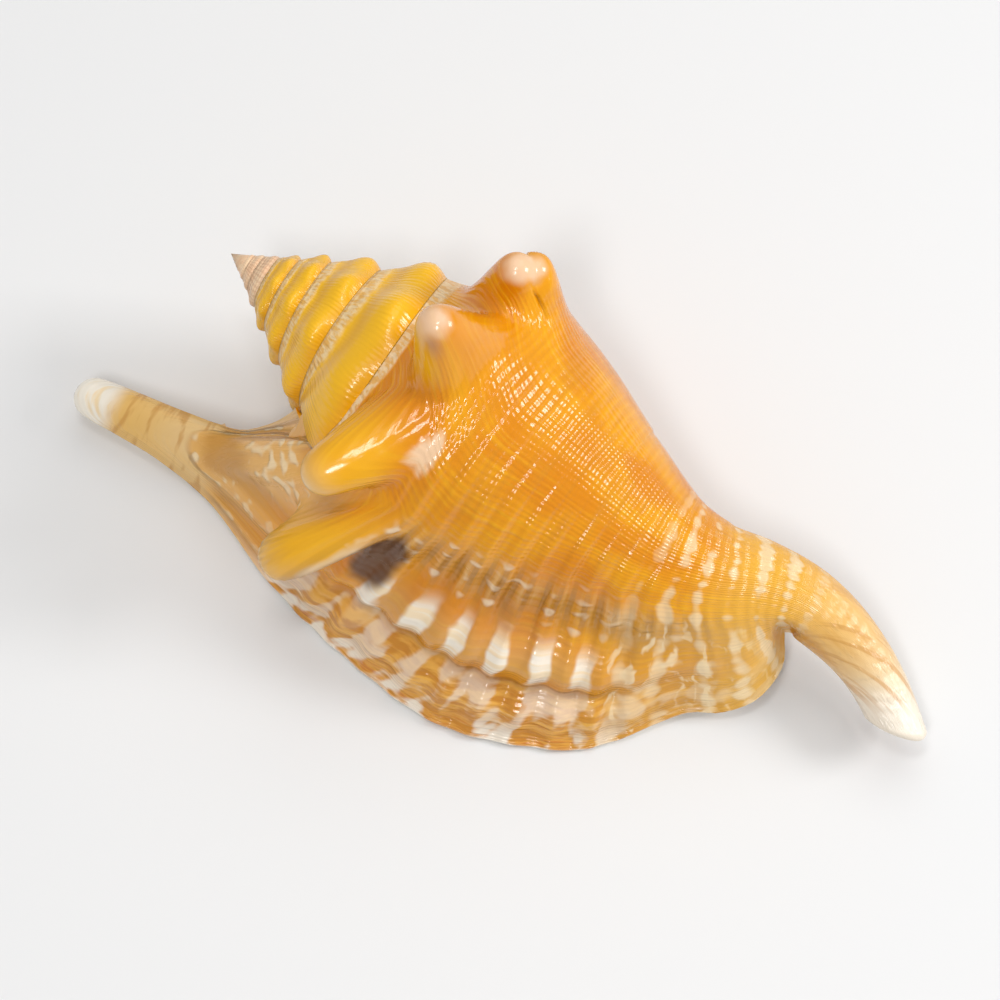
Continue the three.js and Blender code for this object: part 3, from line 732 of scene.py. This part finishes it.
class Skin:
    """Gathers nets of points, the faces between them, and their labels."""

    def __init__(self):
        self.points, self.faces, self.labels, self.count = [], [], [], 0

    def add(self, net, **labels):
        net = np.asarray(net)
        index = self.count + np.arange(net[..., 0].size).reshape(net.shape[:-1])
        self.points.append(net.reshape(-1, 3))
        values = [np.broadcast_to(labels.get(name, 0), index.shape).ravel() for name in LABELS]
        self.labels.append(np.stack(values, 1))
        self.count += index.size
        return index

    def grid(self, index):
        """Joins the neighbouring points of a net with faces."""
        corners = [index[:-1, :-1], index[1:, :-1], index[1:, 1:], index[:-1, 1:]]
        self.faces.extend(np.stack([corner.ravel() for corner in corners], 1).tolist())

    def fan(self, middle, line):
        """Joins one point with a line of points."""
        for a, b in zip(line[:-1], line[1:]):
            self.faces.append([middle, a, b])


skin = Skin()
lip_out = np.clip(out_at(share_net, stations), 0, 1)
on_tail = ease(0.3, 0.5, lip_out) * (1 - ease(0.16, 0.24, stations))
tail_along = np.clip(beside_tail(body)[0] + 1, 0, 2)
body_index = skin.add(
    body, growth=share_net * TURN, station=stations, below_seam=stations / SHOULDER,
    spine=spine_height, lip=lip_out, tail=on_tail * tail_along,
)
skin.grid(body_index)
print(skin.count, "points in the last whorl")

# %% [markdown]
# ## The spire and the opening join the skin
# Where two whorls meet at a seam they share points, so both take the labels of the lower one. The
# inside's labels say how deep a point lies, for the colour of the glaze.

# %% The spire and the opening join the skin
LINING_TURN = 0.58  # how far the growth lines run back into the opening, as a part of a turn
MIDDLE = np.array([2.476, -0.613, 0])  # the middle of the solid before it was moved to the origin

seam_labels = skin.labels[0].reshape(*body_index.shape, -1)[:, 0]
for n, whorl_net in enumerate(wound):
    angles = (seam_angles - TURN * (n + 1))[:, None]
    index = skin.add(whorl_net, growth=angles - angle_at(0, 0), below_seam=SEAM_STEPS[None])
    skin.grid(index)
    net_labels = skin.labels[-1].reshape(*index.shape, -1)
    net_labels[:, -1] = seam_labels
    seam_labels = net_labels[:, 0]

apex_index = skin.add(APEX[None], growth=-TURN * WHORLS, below_seam=0.5)[0]
skin.fan(apex_index, np.concatenate([index[0, :SEAM_ROWS], index[::-1, 0]]))

deep = np.concatenate([[0], layer_shares])[:, None]
outer_index = skin.add(outer, growth=TURN * (1 - deep * LINING_TURN), station=rows[None],
                       inside=1 + deep)
inner_index = skin.add(inner, growth=-DEPTH * deep, station=stations[0, SEAM_ROWS:][None],
                       inside=1 + deep)
skin.grid(outer_index)
skin.grid(inner_index[::-1])
meeting = np.stack([outer_index[-1, SEAM_ROWS:], inner_index[-1]])
skin.grid(meeting)
skin.fan(inner_index[-1, 0], outer_index[-1, SEAM_ROWS::-1])

points = (np.concatenate(skin.points) - MIDDLE) * MM
label_values = np.concatenate(skin.labels)
shell_mesh = bpy.data.meshes.new("shell_skin")
shell_mesh.from_pydata(points.tolist(), [], skin.faces)
for number, name in enumerate(LABELS):
    shell_mesh.attributes.new(name, "FLOAT", "POINT").data.foreach_set(
        "value", label_values[:, number].astype(np.float32))
print(len(points), "points and", len(skin.faces), "faces before the seams are joined")

# %% [markdown]
# ## Seams joined, and feet worn flat
# Points that two nets share become one. At the canal's end, and for a few edges at the seam's end,
# the outside and the inside meet along one line but keep points of their own, which leaves gaps of
# 0.05 mm at most. Then everything below the table is cut away and closed, like the worn places
# that a real shell rests on.

# %% Join and cut
import bmesh

JOIN_WITHIN, CUT_WITHIN = 2e-6, 1e-7
DOWN = (0, 0, -1)

joined = bmesh.new()
joined.from_mesh(shell_mesh)
bmesh.ops.remove_doubles(joined, verts=joined.verts, dist=JOIN_WITHIN)
bmesh.ops.dissolve_degenerate(joined, edges=joined.edges, dist=CUT_WITHIN)
everything = joined.verts[:] + joined.edges[:] + joined.faces[:]
cut = bmesh.ops.bisect_plane(joined, geom=everything, dist=CUT_WITHIN, plane_co=(0, 0, 0),
                             plane_no=DOWN, clear_outer=True)
rims = [part for part in cut["geom_cut"] if isinstance(part, bmesh.types.BMEdge)]
filled = bmesh.ops.triangle_fill(joined, edges=rims, use_beauty=True, normal=DOWN)
for face in joined.faces:
    face.smooth = True
for part in filled["geom"]:
    if isinstance(part, bmesh.types.BMFace):
        part.smooth = False
for rim_edge in rims:
    rim_edge.smooth = False
open_edges = sum(1 for line in joined.edges if len(line.link_faces) != 2)
joined.to_mesh(shell_mesh)
joined.free()
shell_mesh.calc_loop_triangles()
print(len(shell_mesh.loop_triangles), "triangles,", open_edges, "open edges")

shell = bpy.data.objects.new("shell_skin", shell_mesh)
bpy.context.scene.collection.objects.link(shell)
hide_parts("shell")
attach(shell, "root")

# %% [markdown]
# ## Sums on sockets
# A shell's colours follow its growth, so its finish is mostly sums on the values that every point
# carries. Hundreds of Math nodes could be laid out by hand. Instead, a small class wraps a socket,
# and each Python sign on it adds the Math node that does the same.

# %% Sums on sockets
class Value:
    """A socket of a finish. Sums on it add Math nodes."""

    def __init__(self, finish, socket):
        self.finish, self.socket = finish, socket

    def maths(self, operation, *values):
        return self.finish.add("Math", {"operation": operation}, dict(enumerate(values)))

    def __add__(self, other):
        return self.maths("ADD", self, other)

    def __sub__(self, other):
        return self.maths("SUBTRACT", self, other)

    def __rsub__(self, other):
        return self.maths("SUBTRACT", other, self)

    def __mul__(self, other):
        return self.maths("MULTIPLY", self, other)

    def __truediv__(self, other):
        return self.maths("DIVIDE", self, other)

    def __pow__(self, other):
        return self.maths("POWER", self, other)

    __radd__, __rmul__ = __add__, __mul__

    def eased(self, start, end):
        """Goes smoothly from 0 at start to 1 at end."""
        ends = {"Value": self, "From Min": start, "From Max": end}
        return self.finish.add("MapRange", {"interpolation_type": "SMOOTHSTEP"}, ends)

    def wave(self, length):
        """Waves between 0 and 1, with a crest at every whole length."""
        return self.maths("COSINE", self * (2 * math.pi / length)) * 0.5 + 0.5

    def hump(self, middle, half_width):
        """1 at the middle, and falls smoothly to 0 on both sides."""
        return self.maths("ABSOLUTE", self - middle).eased(half_width, 0)


print("a socket can be added, taken away, multiplied, divided and raised to a power")

# %% [markdown]
# ## The finish
# A shell has one glossy finish all over, so one material is enough. Its nodes all come from one
# method, which takes the kind of node, its settings and what goes into its sockets. The colour is
# laid on in coats, like paint, and the order can be read from top to bottom.

# %% The finish
class Finish:
    """One material, and the one method that adds its nodes."""

    def __init__(self, name):
        self.material = bpy.data.materials.new(name)
        self.material.use_nodes = True
        self.tree = self.material.node_tree
        self.shader = self.tree.nodes["Principled BSDF"]
        self.colour = None

    def feed(self, socket, value):
        if isinstance(value, Value):
            self.tree.links.new(value.socket, socket)
        else:
            socket.default_value = (*value, 1) if socket.type == "RGBA" else value

    def add(self, kind, settings, sockets, output=0):
        node = self.tree.nodes.new("ShaderNode" + kind)
        for name, value in settings.items():
            setattr(node, name, value)
        for name, value in sockets.items():
            self.feed(node.inputs[name], value)
        return Value(self, node.outputs[output])

    def label(self, name):
        return self.add("Attribute", {"attribute_name": name}, {}, 2)

    def blend(self, factor, below, above):
        return self.add("Mix", {"data_type": "RGBA"}, {0: factor, 6: below, 7: above}, 2)

    def coat(self, mask, over):
        """Lays a colour over the coats so far, wherever the mask is above 0."""
        self.colour = self.blend(mask, self.colour, over)

    def noise(self, x, y, z=0, detail=2):
        place = self.add("CombineXYZ", {}, {0: x, 1: y, 2: z})
        return self.add("TexNoise", {}, {"Vector": place, "Scale": 1, "Detail": detail})


paint = Finish("glossy shell")
growth, station, below, spine_part, lip_part, tail_part, inner_part = map(paint.label, LABELS)
print("the finish reads the labels", ", ".join(LABELS))

# %% [markdown]
# ## Where is what
# Each part of the shell looks different: the spire, the tail, the canal, the inside. We name these
# places as masks, numbers from 0 to 1, and reuse them for the colour, the relief and the gloss.
# Noise that is stretched along the growth lines or along the cords gives the streaks, and noise in
# the object's own space gives round blobs.

# %% Streaks and blobs
wander = paint.noise(growth * 0.05, below * 1.2, 3, 2)
growth_streaks = paint.noise(growth * 0.4, below * 0.8, 7, 3)
cord_streaks = paint.noise(growth * 0.03, below * 9, 11, 2)
broad = paint.noise(growth * 0.025, below * 0.9, 5, 2)
speckle = paint.noise(growth * 0.35, below * 7, 13, 3)
object_place = paint.add("TexCoord", {}, {}, "Object")
blobs = paint.add("TexNoise", {}, {"Vector": object_place, "Scale": 330, "Detail": 1})
big_blobs = paint.add("TexNoise", {}, {"Vector": object_place, "Scale": 150, "Detail": 2})
fine_blobs = paint.add("TexNoise", {}, {"Vector": object_place, "Scale": 560, "Detail": 0})
THIN_SLICES = (600, 150, 150)
slices = paint.add("VectorMath", {"operation": "MULTIPLY"}, {0: object_place, 1: THIN_SLICES})
rings = paint.add("TexNoise", {}, {"Vector": slices, "Scale": 1, "Detail": 2})
print(len(paint.tree.nodes), "nodes, with the noise")

# %% Where is what
outer_side = inner_part.eased(0.3, 0.03)
in_spire = growth.eased(4, -4)
young = growth.eased(-1180, -1420)
early = growth.eased(190, -40)
on_tail_part = tail_part.eased(0.75, 1.05)
tail_root_part = station.eased(0.21, 0.15) * lip_part.eased(0.02, 0.16) * (1 - on_tail_part)
neck_part = station.eased(0.62, 0.72)
canal_part = station.eased(0.76, 0.86)
seam_width = 0.12 + wander * 0.14
seam_band = (below / seam_width).eased(1.3, 0.75) * (1 - lip_part.eased(0.1, 0.4))
seam_line = below.eased(0.045, 0.012) * (1 - lip_part.eased(0.3, 0.6))
valley = lip_part.hump(0.16, 0.17) * station.eased(0.19, 0.24) * station.eased(0.72, 0.62)
roll = lip_part.hump(0.42, 0.16) * station.eased(0.24, 0.28) * station.eased(0.62, 0.5)
margin = lip_part.eased(0.5, 0.6) * station.eased(0.17, 0.22) * station.eased(0.78, 0.7)
near_edge = lip_part.eased(0.74, 0.92)
print(len(paint.tree.nodes), "nodes, with the places")

# %% Cords, growth lines, ribs and nodes
CORD = 0.096  # the width of a cord, in shoulder heights
ACROSS_SHEET = 115  # millimetres from the seam to the canal's end
cords = (below + wander * 0.05).wave(CORD)
growth_lines = (growth + wander * 9 + below * 1.5).wave(2.7)
rib_crests = (station - RIB_FROM + wander * 0.006).wave(RIB_STEP)
half_ribs = (station - RIB_FROM + wander * 0.014).wave(RIB_STEP / 2)
nodes_along = (growth + wander * 12).wave(6)
bumps = (rib_crests * 0.3 + nodes_along * 0.3 + blobs).eased(0.95, 1.2)
root_folds = (lip_part + wander * 0.14).wave(0.27)
root_nodes = (root_folds * 0.4 + fine_blobs).eased(0.84, 1.08)
print("a cord is", round(CORD * SHOULDER * ACROSS_SHEET, 1), "mm wide")

# %% [markdown]
# ## Colours
# The body is amber and the spire is gold, with darker streaks along the growth lines and the cords.
# A mask and a colour make a coat. Broad places come first, and each smaller place goes over them.

# %% Colours of the body and the spire
AMBER, DEEP_AMBER, GOLD = (0.85, 0.36, 0.004), (0.72, 0.24, 0.002), (0.94, 0.51, 0.012)
SAND, CREAM, WHITE = (0.82, 0.48, 0.15), (0.92, 0.72, 0.44), (0.93, 0.86, 0.74)
TAN, GROOVE_SHADE, RUST = (0.62, 0.30, 0.07), (0.30, 0.13, 0.03), (0.58, 0.17, 0.02)
HONEY = (0.66, 0.26, 0.015)

coat = paint.coat
paint.colour = paint.blend(broad.eased(0.4, 0.62), DEEP_AMBER, AMBER)
coat(growth_streaks.eased(0.5, 0.72) * 0.35, GOLD)
coat(early * below.eased(1.6, 0.6), GOLD)
coat(in_spire * below.hump(0.36, 0.16) * 0.4, TAN)
coat(in_spire * below.eased(0.72, 1) * 0.4, AMBER)
coat((1 - cords) * 0.28 * station.eased(0.15, 0.25), DEEP_AMBER)
coat(cord_streaks.eased(0.5, 0.66) * station.eased(0.18, 0.3) * 0.4, HONEY)
print(len(paint.tree.nodes), "nodes, with the body and the spire")

# %% [markdown]
# ## The seams and the apex
# The collar under each seam is crinkled and cream. The apex is the oldest part: it is worn to a
# pale pink and keeps only a fine net of lines. Both follow the labels, so no picture is needed.

# %% Colours of the seams and the apex
PINK, PALE_PINK, DULL_PINK = (0.96, 0.62, 0.38), (0.98, 0.72, 0.46), (0.55, 0.26, 0.12)

coat(seam_band * 0.85, paint.blend(speckle.eased(0.42, 0.6), CREAM, SAND))
coat(seam_band * growth_streaks.eased(0.5, 0.7) * 0.3, TAN)
coat(seam_line * in_spire * 0.4, TAN)
coat(young, paint.blend(broad.eased(0.35, 0.65), PALE_PINK, PINK))
net_lines = (1 - (below.wave(0.2) ** 0.5)) + (1 - (growth.wave(11) ** 0.5))
coat(young * growth.eased(-2500, -2100) * net_lines.eased(0.4, 0.9) * 0.4, DULL_PINK)
print(len(paint.tree.nodes), "nodes, with the seams and the apex")

# %% [markdown]
# ## The spines
# The first spines are worn to rosy knobs, and the later two are gold with pale tips. A rosy brown
# under the second knob is painted shade. The label that says how far up a spine a point is serves
# as the mask, and growth tells the spines apart.

# %% Colours of the spines
PEACH, KNOB_PINK, KNOB_SHADE_BROWN = (0.90, 0.58, 0.24), (0.88, 0.62, 0.42), (0.46, 0.21, 0.11)
ROSY_CREAM, PALE_ROSE = (0.90, 0.66, 0.44), (0.93, 0.78, 0.58)

first_spines = growth.eased(246, 236)
later_spines = 1 - first_spines
coat(spine_part.eased(0.05, 0.35) * later_spines * 0.6, GOLD)
coat(spine_part.eased(0.42, 0.72) * later_spines * 0.6, PEACH)
coat(spine_part.eased(0.68, 0.92) * later_spines * 0.5, CREAM)
coat((spine_part + blobs * 0.3).eased(0.72, 1) * first_spines * 0.8, KNOB_PINK)
# Painted shade: a rosy brown darkens the underside of the second worn knob.
painted_shade_under_knob = spine_part.hump(0.62, 0.26) * growth.hump(240, 9) * station.eased(0.125, 0.15)
coat(painted_shade_under_knob * 0.65, KNOB_SHADE_BROWN)
beside_spine = growth.hump(252, 16) * station.hump(0.212, 0.035)
coat((beside_spine * (0.4 + speckle * 1.2)).eased(0.35, 0.8) * 0.8, ROSY_CREAM)
beside_last = growth.hump(281, 10) * station.hump(0.235, 0.02)
coat((beside_last * (0.2 + big_blobs * 1.4)).eased(0.45, 0.85) * 0.7, PALE_ROSE)
print(len(paint.tree.nodes), "nodes, with the spines")

# %% [markdown]
# ## The lip
# Behind its edge the lip has an ochre valley with small pale nodes, a brown roll with a row of
# white blotches, and a plum patch by the last spine. Painted shade darkens the troughs of the
# valley's ribs, a band in the valley, the groove behind the roll, and in part the plum patch. Humps
# of the label that says how far out on the lip a point is follow these forms around every curve.

# %% Colours of the valley
OCHRE, GROOVE_OCHRE_AND_SHADE, VALLEY_SHADE, NODE_CREAM = (
    (0.66, 0.36, 0.08), (0.36, 0.16, 0.03), (0.40, 0.21, 0.08), (0.92, 0.74, 0.52),
)

coat(valley * 0.45, OCHRE)
# Partly painted shade: the troughs between the half ribs are darkened for their own brown and for
# the shade in them.
coat(valley * half_ribs.eased(0.55, 0.1) * 0.6, GROOVE_OCHRE_AND_SHADE)
coat(valley * half_ribs.eased(0.6, 0.95) * cord_streaks.eased(0.4, 0.6) * 0.5, SAND)
# Painted shade: a grey-brown band darkens the valley's slope, towards the front of the lip.
painted_valley_shade = lip_part.hump(0.25, 0.11) * station.eased(0.36, 0.44) * station.eased(0.68, 0.58)
coat(painted_valley_shade * wander.eased(0.3, 0.6) * 0.6, VALLEY_SHADE)
coat(valley.eased(0, 0.5) * bumps * station.eased(0.62, 0.54) * 0.7, NODE_CREAM)
print(len(paint.tree.nodes), "nodes, with the valley")

# %% Colours of the roll
ROLL_BROWN, ROLL_AMBER = (0.62, 0.38, 0.15), (0.76, 0.36, 0.04)
SOFT_CREAM, PLUM_AND_SHADE = (0.93, 0.76, 0.52), (0.10, 0.035, 0.015)

blotches = (station - 0.296 + wander * 0.034).wave(0.052)
roll_white = roll.eased(0, 0.7) * (blotches * 0.5 + big_blobs * 0.9).eased(0.66, 0.86)
coat(roll * 0.7, paint.blend(lip_part.eased(0.34, 0.5), ROLL_BROWN, ROLL_AMBER))
coat(roll_white * 0.95, paint.blend(growth_streaks.eased(0.42, 0.6), WHITE, SOFT_CREAM))
# Partly painted shade: the shell's own plum patch by the last spine, darkened further for the shade
# in the hollow there.
plum_and_shade_patch = growth.hump(291, 24) * station.hump(0.256, 0.052)
coat((plum_and_shade_patch * (0.4 + big_blobs * 1.2)).eased(0.3, 0.7) * 0.92, PLUM_AND_SHADE)
first_blotch = growth.hump(318, 26) * station.hump(0.284, 0.03)
coat((first_blotch * (0.5 + big_blobs)).eased(0.35, 0.6) * 0.9, WHITE)
groove_at = lip_part.hump(0.55, 0.035) * station.eased(0.24, 0.3) * station.eased(0.62, 0.54)
# Painted shade: a dark brown line along the groove between the roll and the margin.
coat(groove_at * 0.7, GROOVE_SHADE)
print(len(paint.tree.nodes), "nodes, with the roll")

# %% [markdown]
# ## The margin and the front of the lip
# The margin has fine rust lines and white patches, and its very rim is pale. Noise with different
# sizes along and across the lip draws the lines, because they follow the growing edge. Towards the
# canal the lip is ochre with cream rays.

# %% Colours of the margin and the front of the lip
MARGIN_BROWN, MARGIN_ORANGE = (0.60, 0.25, 0.035), (0.88, 0.47, 0.09)
LIP_OCHRE, LIP_CREAM = (0.66, 0.34, 0.05), (0.88, 0.66, 0.40)

patches = paint.noise(station * 30 + lip_part * 1.5, growth * 0.03, 19, 2)
fine_lines = paint.noise(lip_part * 20 + wander * 3, station * 26, 23, 3)
margin_colour = paint.blend(fine_lines.eased(0.42, 0.6), MARGIN_BROWN, MARGIN_ORANGE)
coat(margin * 0.85, margin_colour)
coat(margin * (patches + fine_lines * 0.25).eased(0.6, 0.7) * (0.5 + near_edge * 0.4), WHITE)
coat(margin * near_edge * fine_lines.eased(0.5, 0.62) * patches.eased(0.6, 0.45) * 0.8, RUST)
radial = paint.noise(growth * 0.06 + wander * 2, station * 70 + big_blobs * 3, 29, 2)
front_lip = station.eased(0.52, 0.6) * station.eased(0.78, 0.7) * lip_part.eased(0.04, 0.2)
coat(front_lip * 0.5, LIP_OCHRE)
coat(front_lip * big_blobs.eased(0.54, 0.66) * 0.7, LIP_CREAM)
coat(front_lip * radial.eased(0.53, 0.64) * wander.eased(0.3, 0.5) * 0.8, CREAM)
rim = lip_part.eased(0.955, 0.99) * station.eased(0.17, 0.22) * station.eased(0.8, 0.74)
coat(rim * 0.9, paint.blend(patches.eased(0.5, 0.42), WHITE, paint.blend(0.6, CREAM, RUST)))
print(len(paint.tree.nodes), "nodes, with the margin")

# %% [markdown]
# ## The neck and the canal
# Cream checks cover the neck, where pale bands along the cords cross pale bands of growth. The sum
# of two waves and a noise, cut off at a height, gives them their uneven edges. The canal fades
# from tan to white at its end.

# %% Colours of the neck and the canal
NECK_GOLD, CHECK_CREAM = (0.88, 0.50, 0.07), (0.93, 0.74, 0.46)
CANAL_BROWN, CANAL_SAND = (0.70, 0.34, 0.05), (0.84, 0.50, 0.16)

checks = (below + wander * 0.1).wave(CORD * 2.4) * 0.45 + (growth + wander * 30).wave(17) * 0.15
checks = (checks + big_blobs).eased(0.86, 1.06)
checked = station.eased(0.54, 0.64) * station.eased(0.86, 0.78)
coat(neck_part * 0.6, NECK_GOLD)
coat(checked * checks * 0.68, CHECK_CREAM)
coat(canal_part, paint.blend(broad.eased(0.35, 0.6), CANAL_BROWN, CANAL_SAND))
coat(station.eased(0.84, 0.96) * 0.9, paint.blend(station.eased(0.9, 0.98), CREAM, WHITE))
across_canal = paint.noise(growth * 0.06 + station * 60, station * 8, 31, 3)
coat(canal_part * across_canal.eased(0.5, 0.62) * (1 - station.eased(0.93, 0.99)) * 0.6, TAN)
print(len(paint.tree.nodes), "nodes, with the neck and the canal")

# %% [markdown]
# ## The tail
# Folds and small cream nodes cover the tail's root. The tail itself is sand with brown rings, and
# its tip is white. The rings are noise in thin slices across the tail's length.

# %% Colours of the tail
ROOT_BROWN, TAIL_SAND, TAIL_CREAM = (0.60, 0.31, 0.07), (0.82, 0.50, 0.15), (0.86, 0.62, 0.32)

coat(tail_root_part * 0.85, paint.blend(root_folds.eased(0.1, 0.7), ROOT_BROWN, SAND))
coat(tail_root_part * root_nodes * 0.85, CREAM)
coat(tail_root_part * near_edge * 0.5, CREAM)
coat(on_tail_part, paint.blend(broad.eased(0.35, 0.65), TAIL_SAND, TAIL_CREAM))
coat(on_tail_part * rings.eased(0.5, 0.66) * 0.7, TAN)
coat(tail_part.eased(1.72, 1.9), paint.blend(speckle.eased(0.5, 0.7), WHITE, CREAM))
print(len(paint.tree.nodes), "nodes, with the tail")

# %% [markdown]
# ## The inside
# A smooth glaze lines the opening. It is cream at the lip and goes over orange to brown the deeper
# it is, so the depth label blends three colours.

# %% Colours of the inside
GLAZE_ORANGE, GLAZE_BROWN = (0.88, 0.50, 0.17), (0.66, 0.25, 0.05)

how_deep = inner_part - 1
glaze = paint.blend(how_deep.eased(0.02, 0.16), CREAM, GLAZE_ORANGE)
glaze = paint.blend(how_deep.eased(0.12, 0.7), glaze, GLAZE_BROWN)
coat(1 - outer_side, glaze)
print(len(paint.tree.nodes), "nodes, with the inside")

# %% [markdown]
# ## Fine relief and gloss
# Cords and growth lines are too fine for the net, so they go into one Bump node, with heights in
# millimetres. Where they cross, they break a reflection into small squares. The gloss is the
# shell's own polish: a low roughness that rises where the surface is crinkled. A clear coat would
# lie smooth over the cords and hide them. Towards the apex the relief fades, as the whorls there
# are too small to carry it.

# %% Fine relief and gloss
plain = (1 - spine_part.eased(0.25, 0.6)) * (1 - canal_part * 0.7) * outer_side
corded = plain * station.eased(0.13, 0.22) * (1 - roll * 0.6)
relief = cords * corded * 0.1
relief = relief + growth_lines * plain * 0.04 + growth_streaks * plain * 0.12
relief = relief + seam_band * speckle * 0.3 + seam_band * growth_streaks * 0.25
relief = relief - seam_line * 0.15 * in_spire
relief = relief + valley * (bumps * 0.16 + half_ribs * 0.32) - groove_at * 0.3
relief = relief + tail_root_part * (root_folds * 0.7 + root_nodes * 0.18)
relief = relief + margin * (fine_lines * 0.25 + patches * 0.3)
relief = relief + on_tail_part * rings * 0.12 + canal_part * across_canal * 0.1
relief = relief + neck_part * checks * 0.06 + young * net_lines * -0.04
relief = relief * (0.05 + growth.eased(-2400, -1200) * 0.95)
bump = paint.add("Bump", {}, {"Strength": 1, "Distance": MM, "Height": relief})

dull = seam_band * 0.22 + valley * 0.08 + tail_root_part * 0.1 + plum_and_shade_patch * 0.1 + young * 0.1
POLISH = 0.1  # the roughness where the shell is smoothest
paint.feed(paint.shader.inputs["Base Color"], paint.colour)
paint.feed(paint.shader.inputs["Normal"], bump)
paint.feed(paint.shader.inputs["Roughness"], POLISH + speckle * 0.14 + dull)
shell_mesh.materials.append(paint.material)
print("the finish has", len(paint.tree.nodes), "nodes")

# %% [markdown]
# ## The table
# The shell lies on a plain pale table. One flat face is enough, wide enough to fill the picture.

# %% The table
FAR, PALE, MATT = 2, (0.8, 0.8, 0.8, 1), 0.7

floor_mesh = bpy.data.meshes.new("table_top")
corners = [(-FAR, -FAR, 0), (FAR, -FAR, 0), (FAR, FAR, 0), (-FAR, FAR, 0)]
floor_mesh.from_pydata(corners, [], [(0, 1, 2, 3)])
floor = bpy.data.objects.new("table_top", floor_mesh)
bpy.context.scene.collection.objects.link(floor)
floor_paint = bpy.data.materials.new("pale table")
floor_paint.use_nodes = True
floor_shader = floor_paint.node_tree.nodes["Principled BSDF"]
floor_shader.inputs["Base Color"].default_value = PALE
floor_shader.inputs["Roughness"].default_value = MATT
floor_mesh.materials.append(floor_paint)
print("the table is", 2 * FAR, "m wide")

# %% [markdown]
# ## The camera
# The photograph looks down on the shell from about 70 degrees up, over its lip. Its distance can
# only be guessed. The camera stands near enough that high parts look a little larger than low
# ones, as they do in the photograph. The lens is long to match.

# %% The camera
from mathutils import Matrix, Vector

TARGET = Vector(((np.array([0, 0, 18.0]) - MIDDLE) * MM).tolist())
AZIMUTH, ELEVATION, DISTANCE = 38, 70, 0.45
LENS, SENSOR = 105.3, 36


def looking_from(azimuth, elevation):
    """The direction from the target to a place round it, 0 degrees at the front, towards -Y."""
    a, e = math.radians(azimuth), math.radians(elevation)
    return Vector((math.sin(a) * math.cos(e), -math.cos(a) * math.cos(e), math.sin(e)))


def turned_to(back):
    right = Vector((0, 0, 1)).cross(back).normalized()
    return Matrix((right, back.cross(right), back)).transposed().to_4x4()


back = looking_from(AZIMUTH, ELEVATION)
camera = bpy.data.objects.new("camera", bpy.data.cameras.new("camera"))
camera.data.lens = LENS
camera.data.sensor_width = SENSOR
camera.matrix_world = Matrix.Translation(TARGET + back * DISTANCE) @ turned_to(back)
bpy.context.scene.collection.objects.link(camera)
bpy.context.scene.camera = camera
print("the camera stands at", tuple(round(v, 3) for v in camera.matrix_world.translation))

# %% [markdown]
# ## The light
# A soft room and a panel above give the broad shine. Gloss shows what it mirrors, so two small
# bright panels stand where windows would, and their reflections break up on the cords.

# %% The light
ROOM_LIGHT, ROOM_WHITE = 0.38, (1, 1, 1, 1)
world = bpy.data.worlds.new("soft room")
world.use_nodes = True
world.node_tree.nodes["Background"].inputs["Color"].default_value = ROOM_WHITE
world.node_tree.nodes["Background"].inputs["Strength"].default_value = ROOM_LIGHT
bpy.context.scene.world = world
bpy.context.scene.view_settings.view_transform = "Standard"


def panel(name, azimuth, elevation, distance, width, height, power):
    """A bright rectangle that faces the shell. Sizes are in metres, and the power in watts."""
    light = bpy.data.lights.new(name, "AREA")
    light.shape, light.size, light.size_y = "RECTANGLE", width, height
    light.energy = power
    way_out = looking_from(azimuth, elevation)
    placed = bpy.data.objects.new(name, light)
    placed.matrix_world = Matrix.Translation(TARGET + way_out * distance) @ turned_to(way_out)
    bpy.context.scene.collection.objects.link(placed)


panel("sky panel", 200, 60, 0.9, 0.7, 0.7, 1.6)
panel("lamp above", -29, 86, 0.8, 0.1, 0.2, 1)
panel("window", 131, 34, 0.8, 0.24, 0.24, 2.8)
panel("small window", 20, 64, 0.8, 0.11, 0.17, 1.6)
print(len(bpy.data.lights), "panels light the shell")
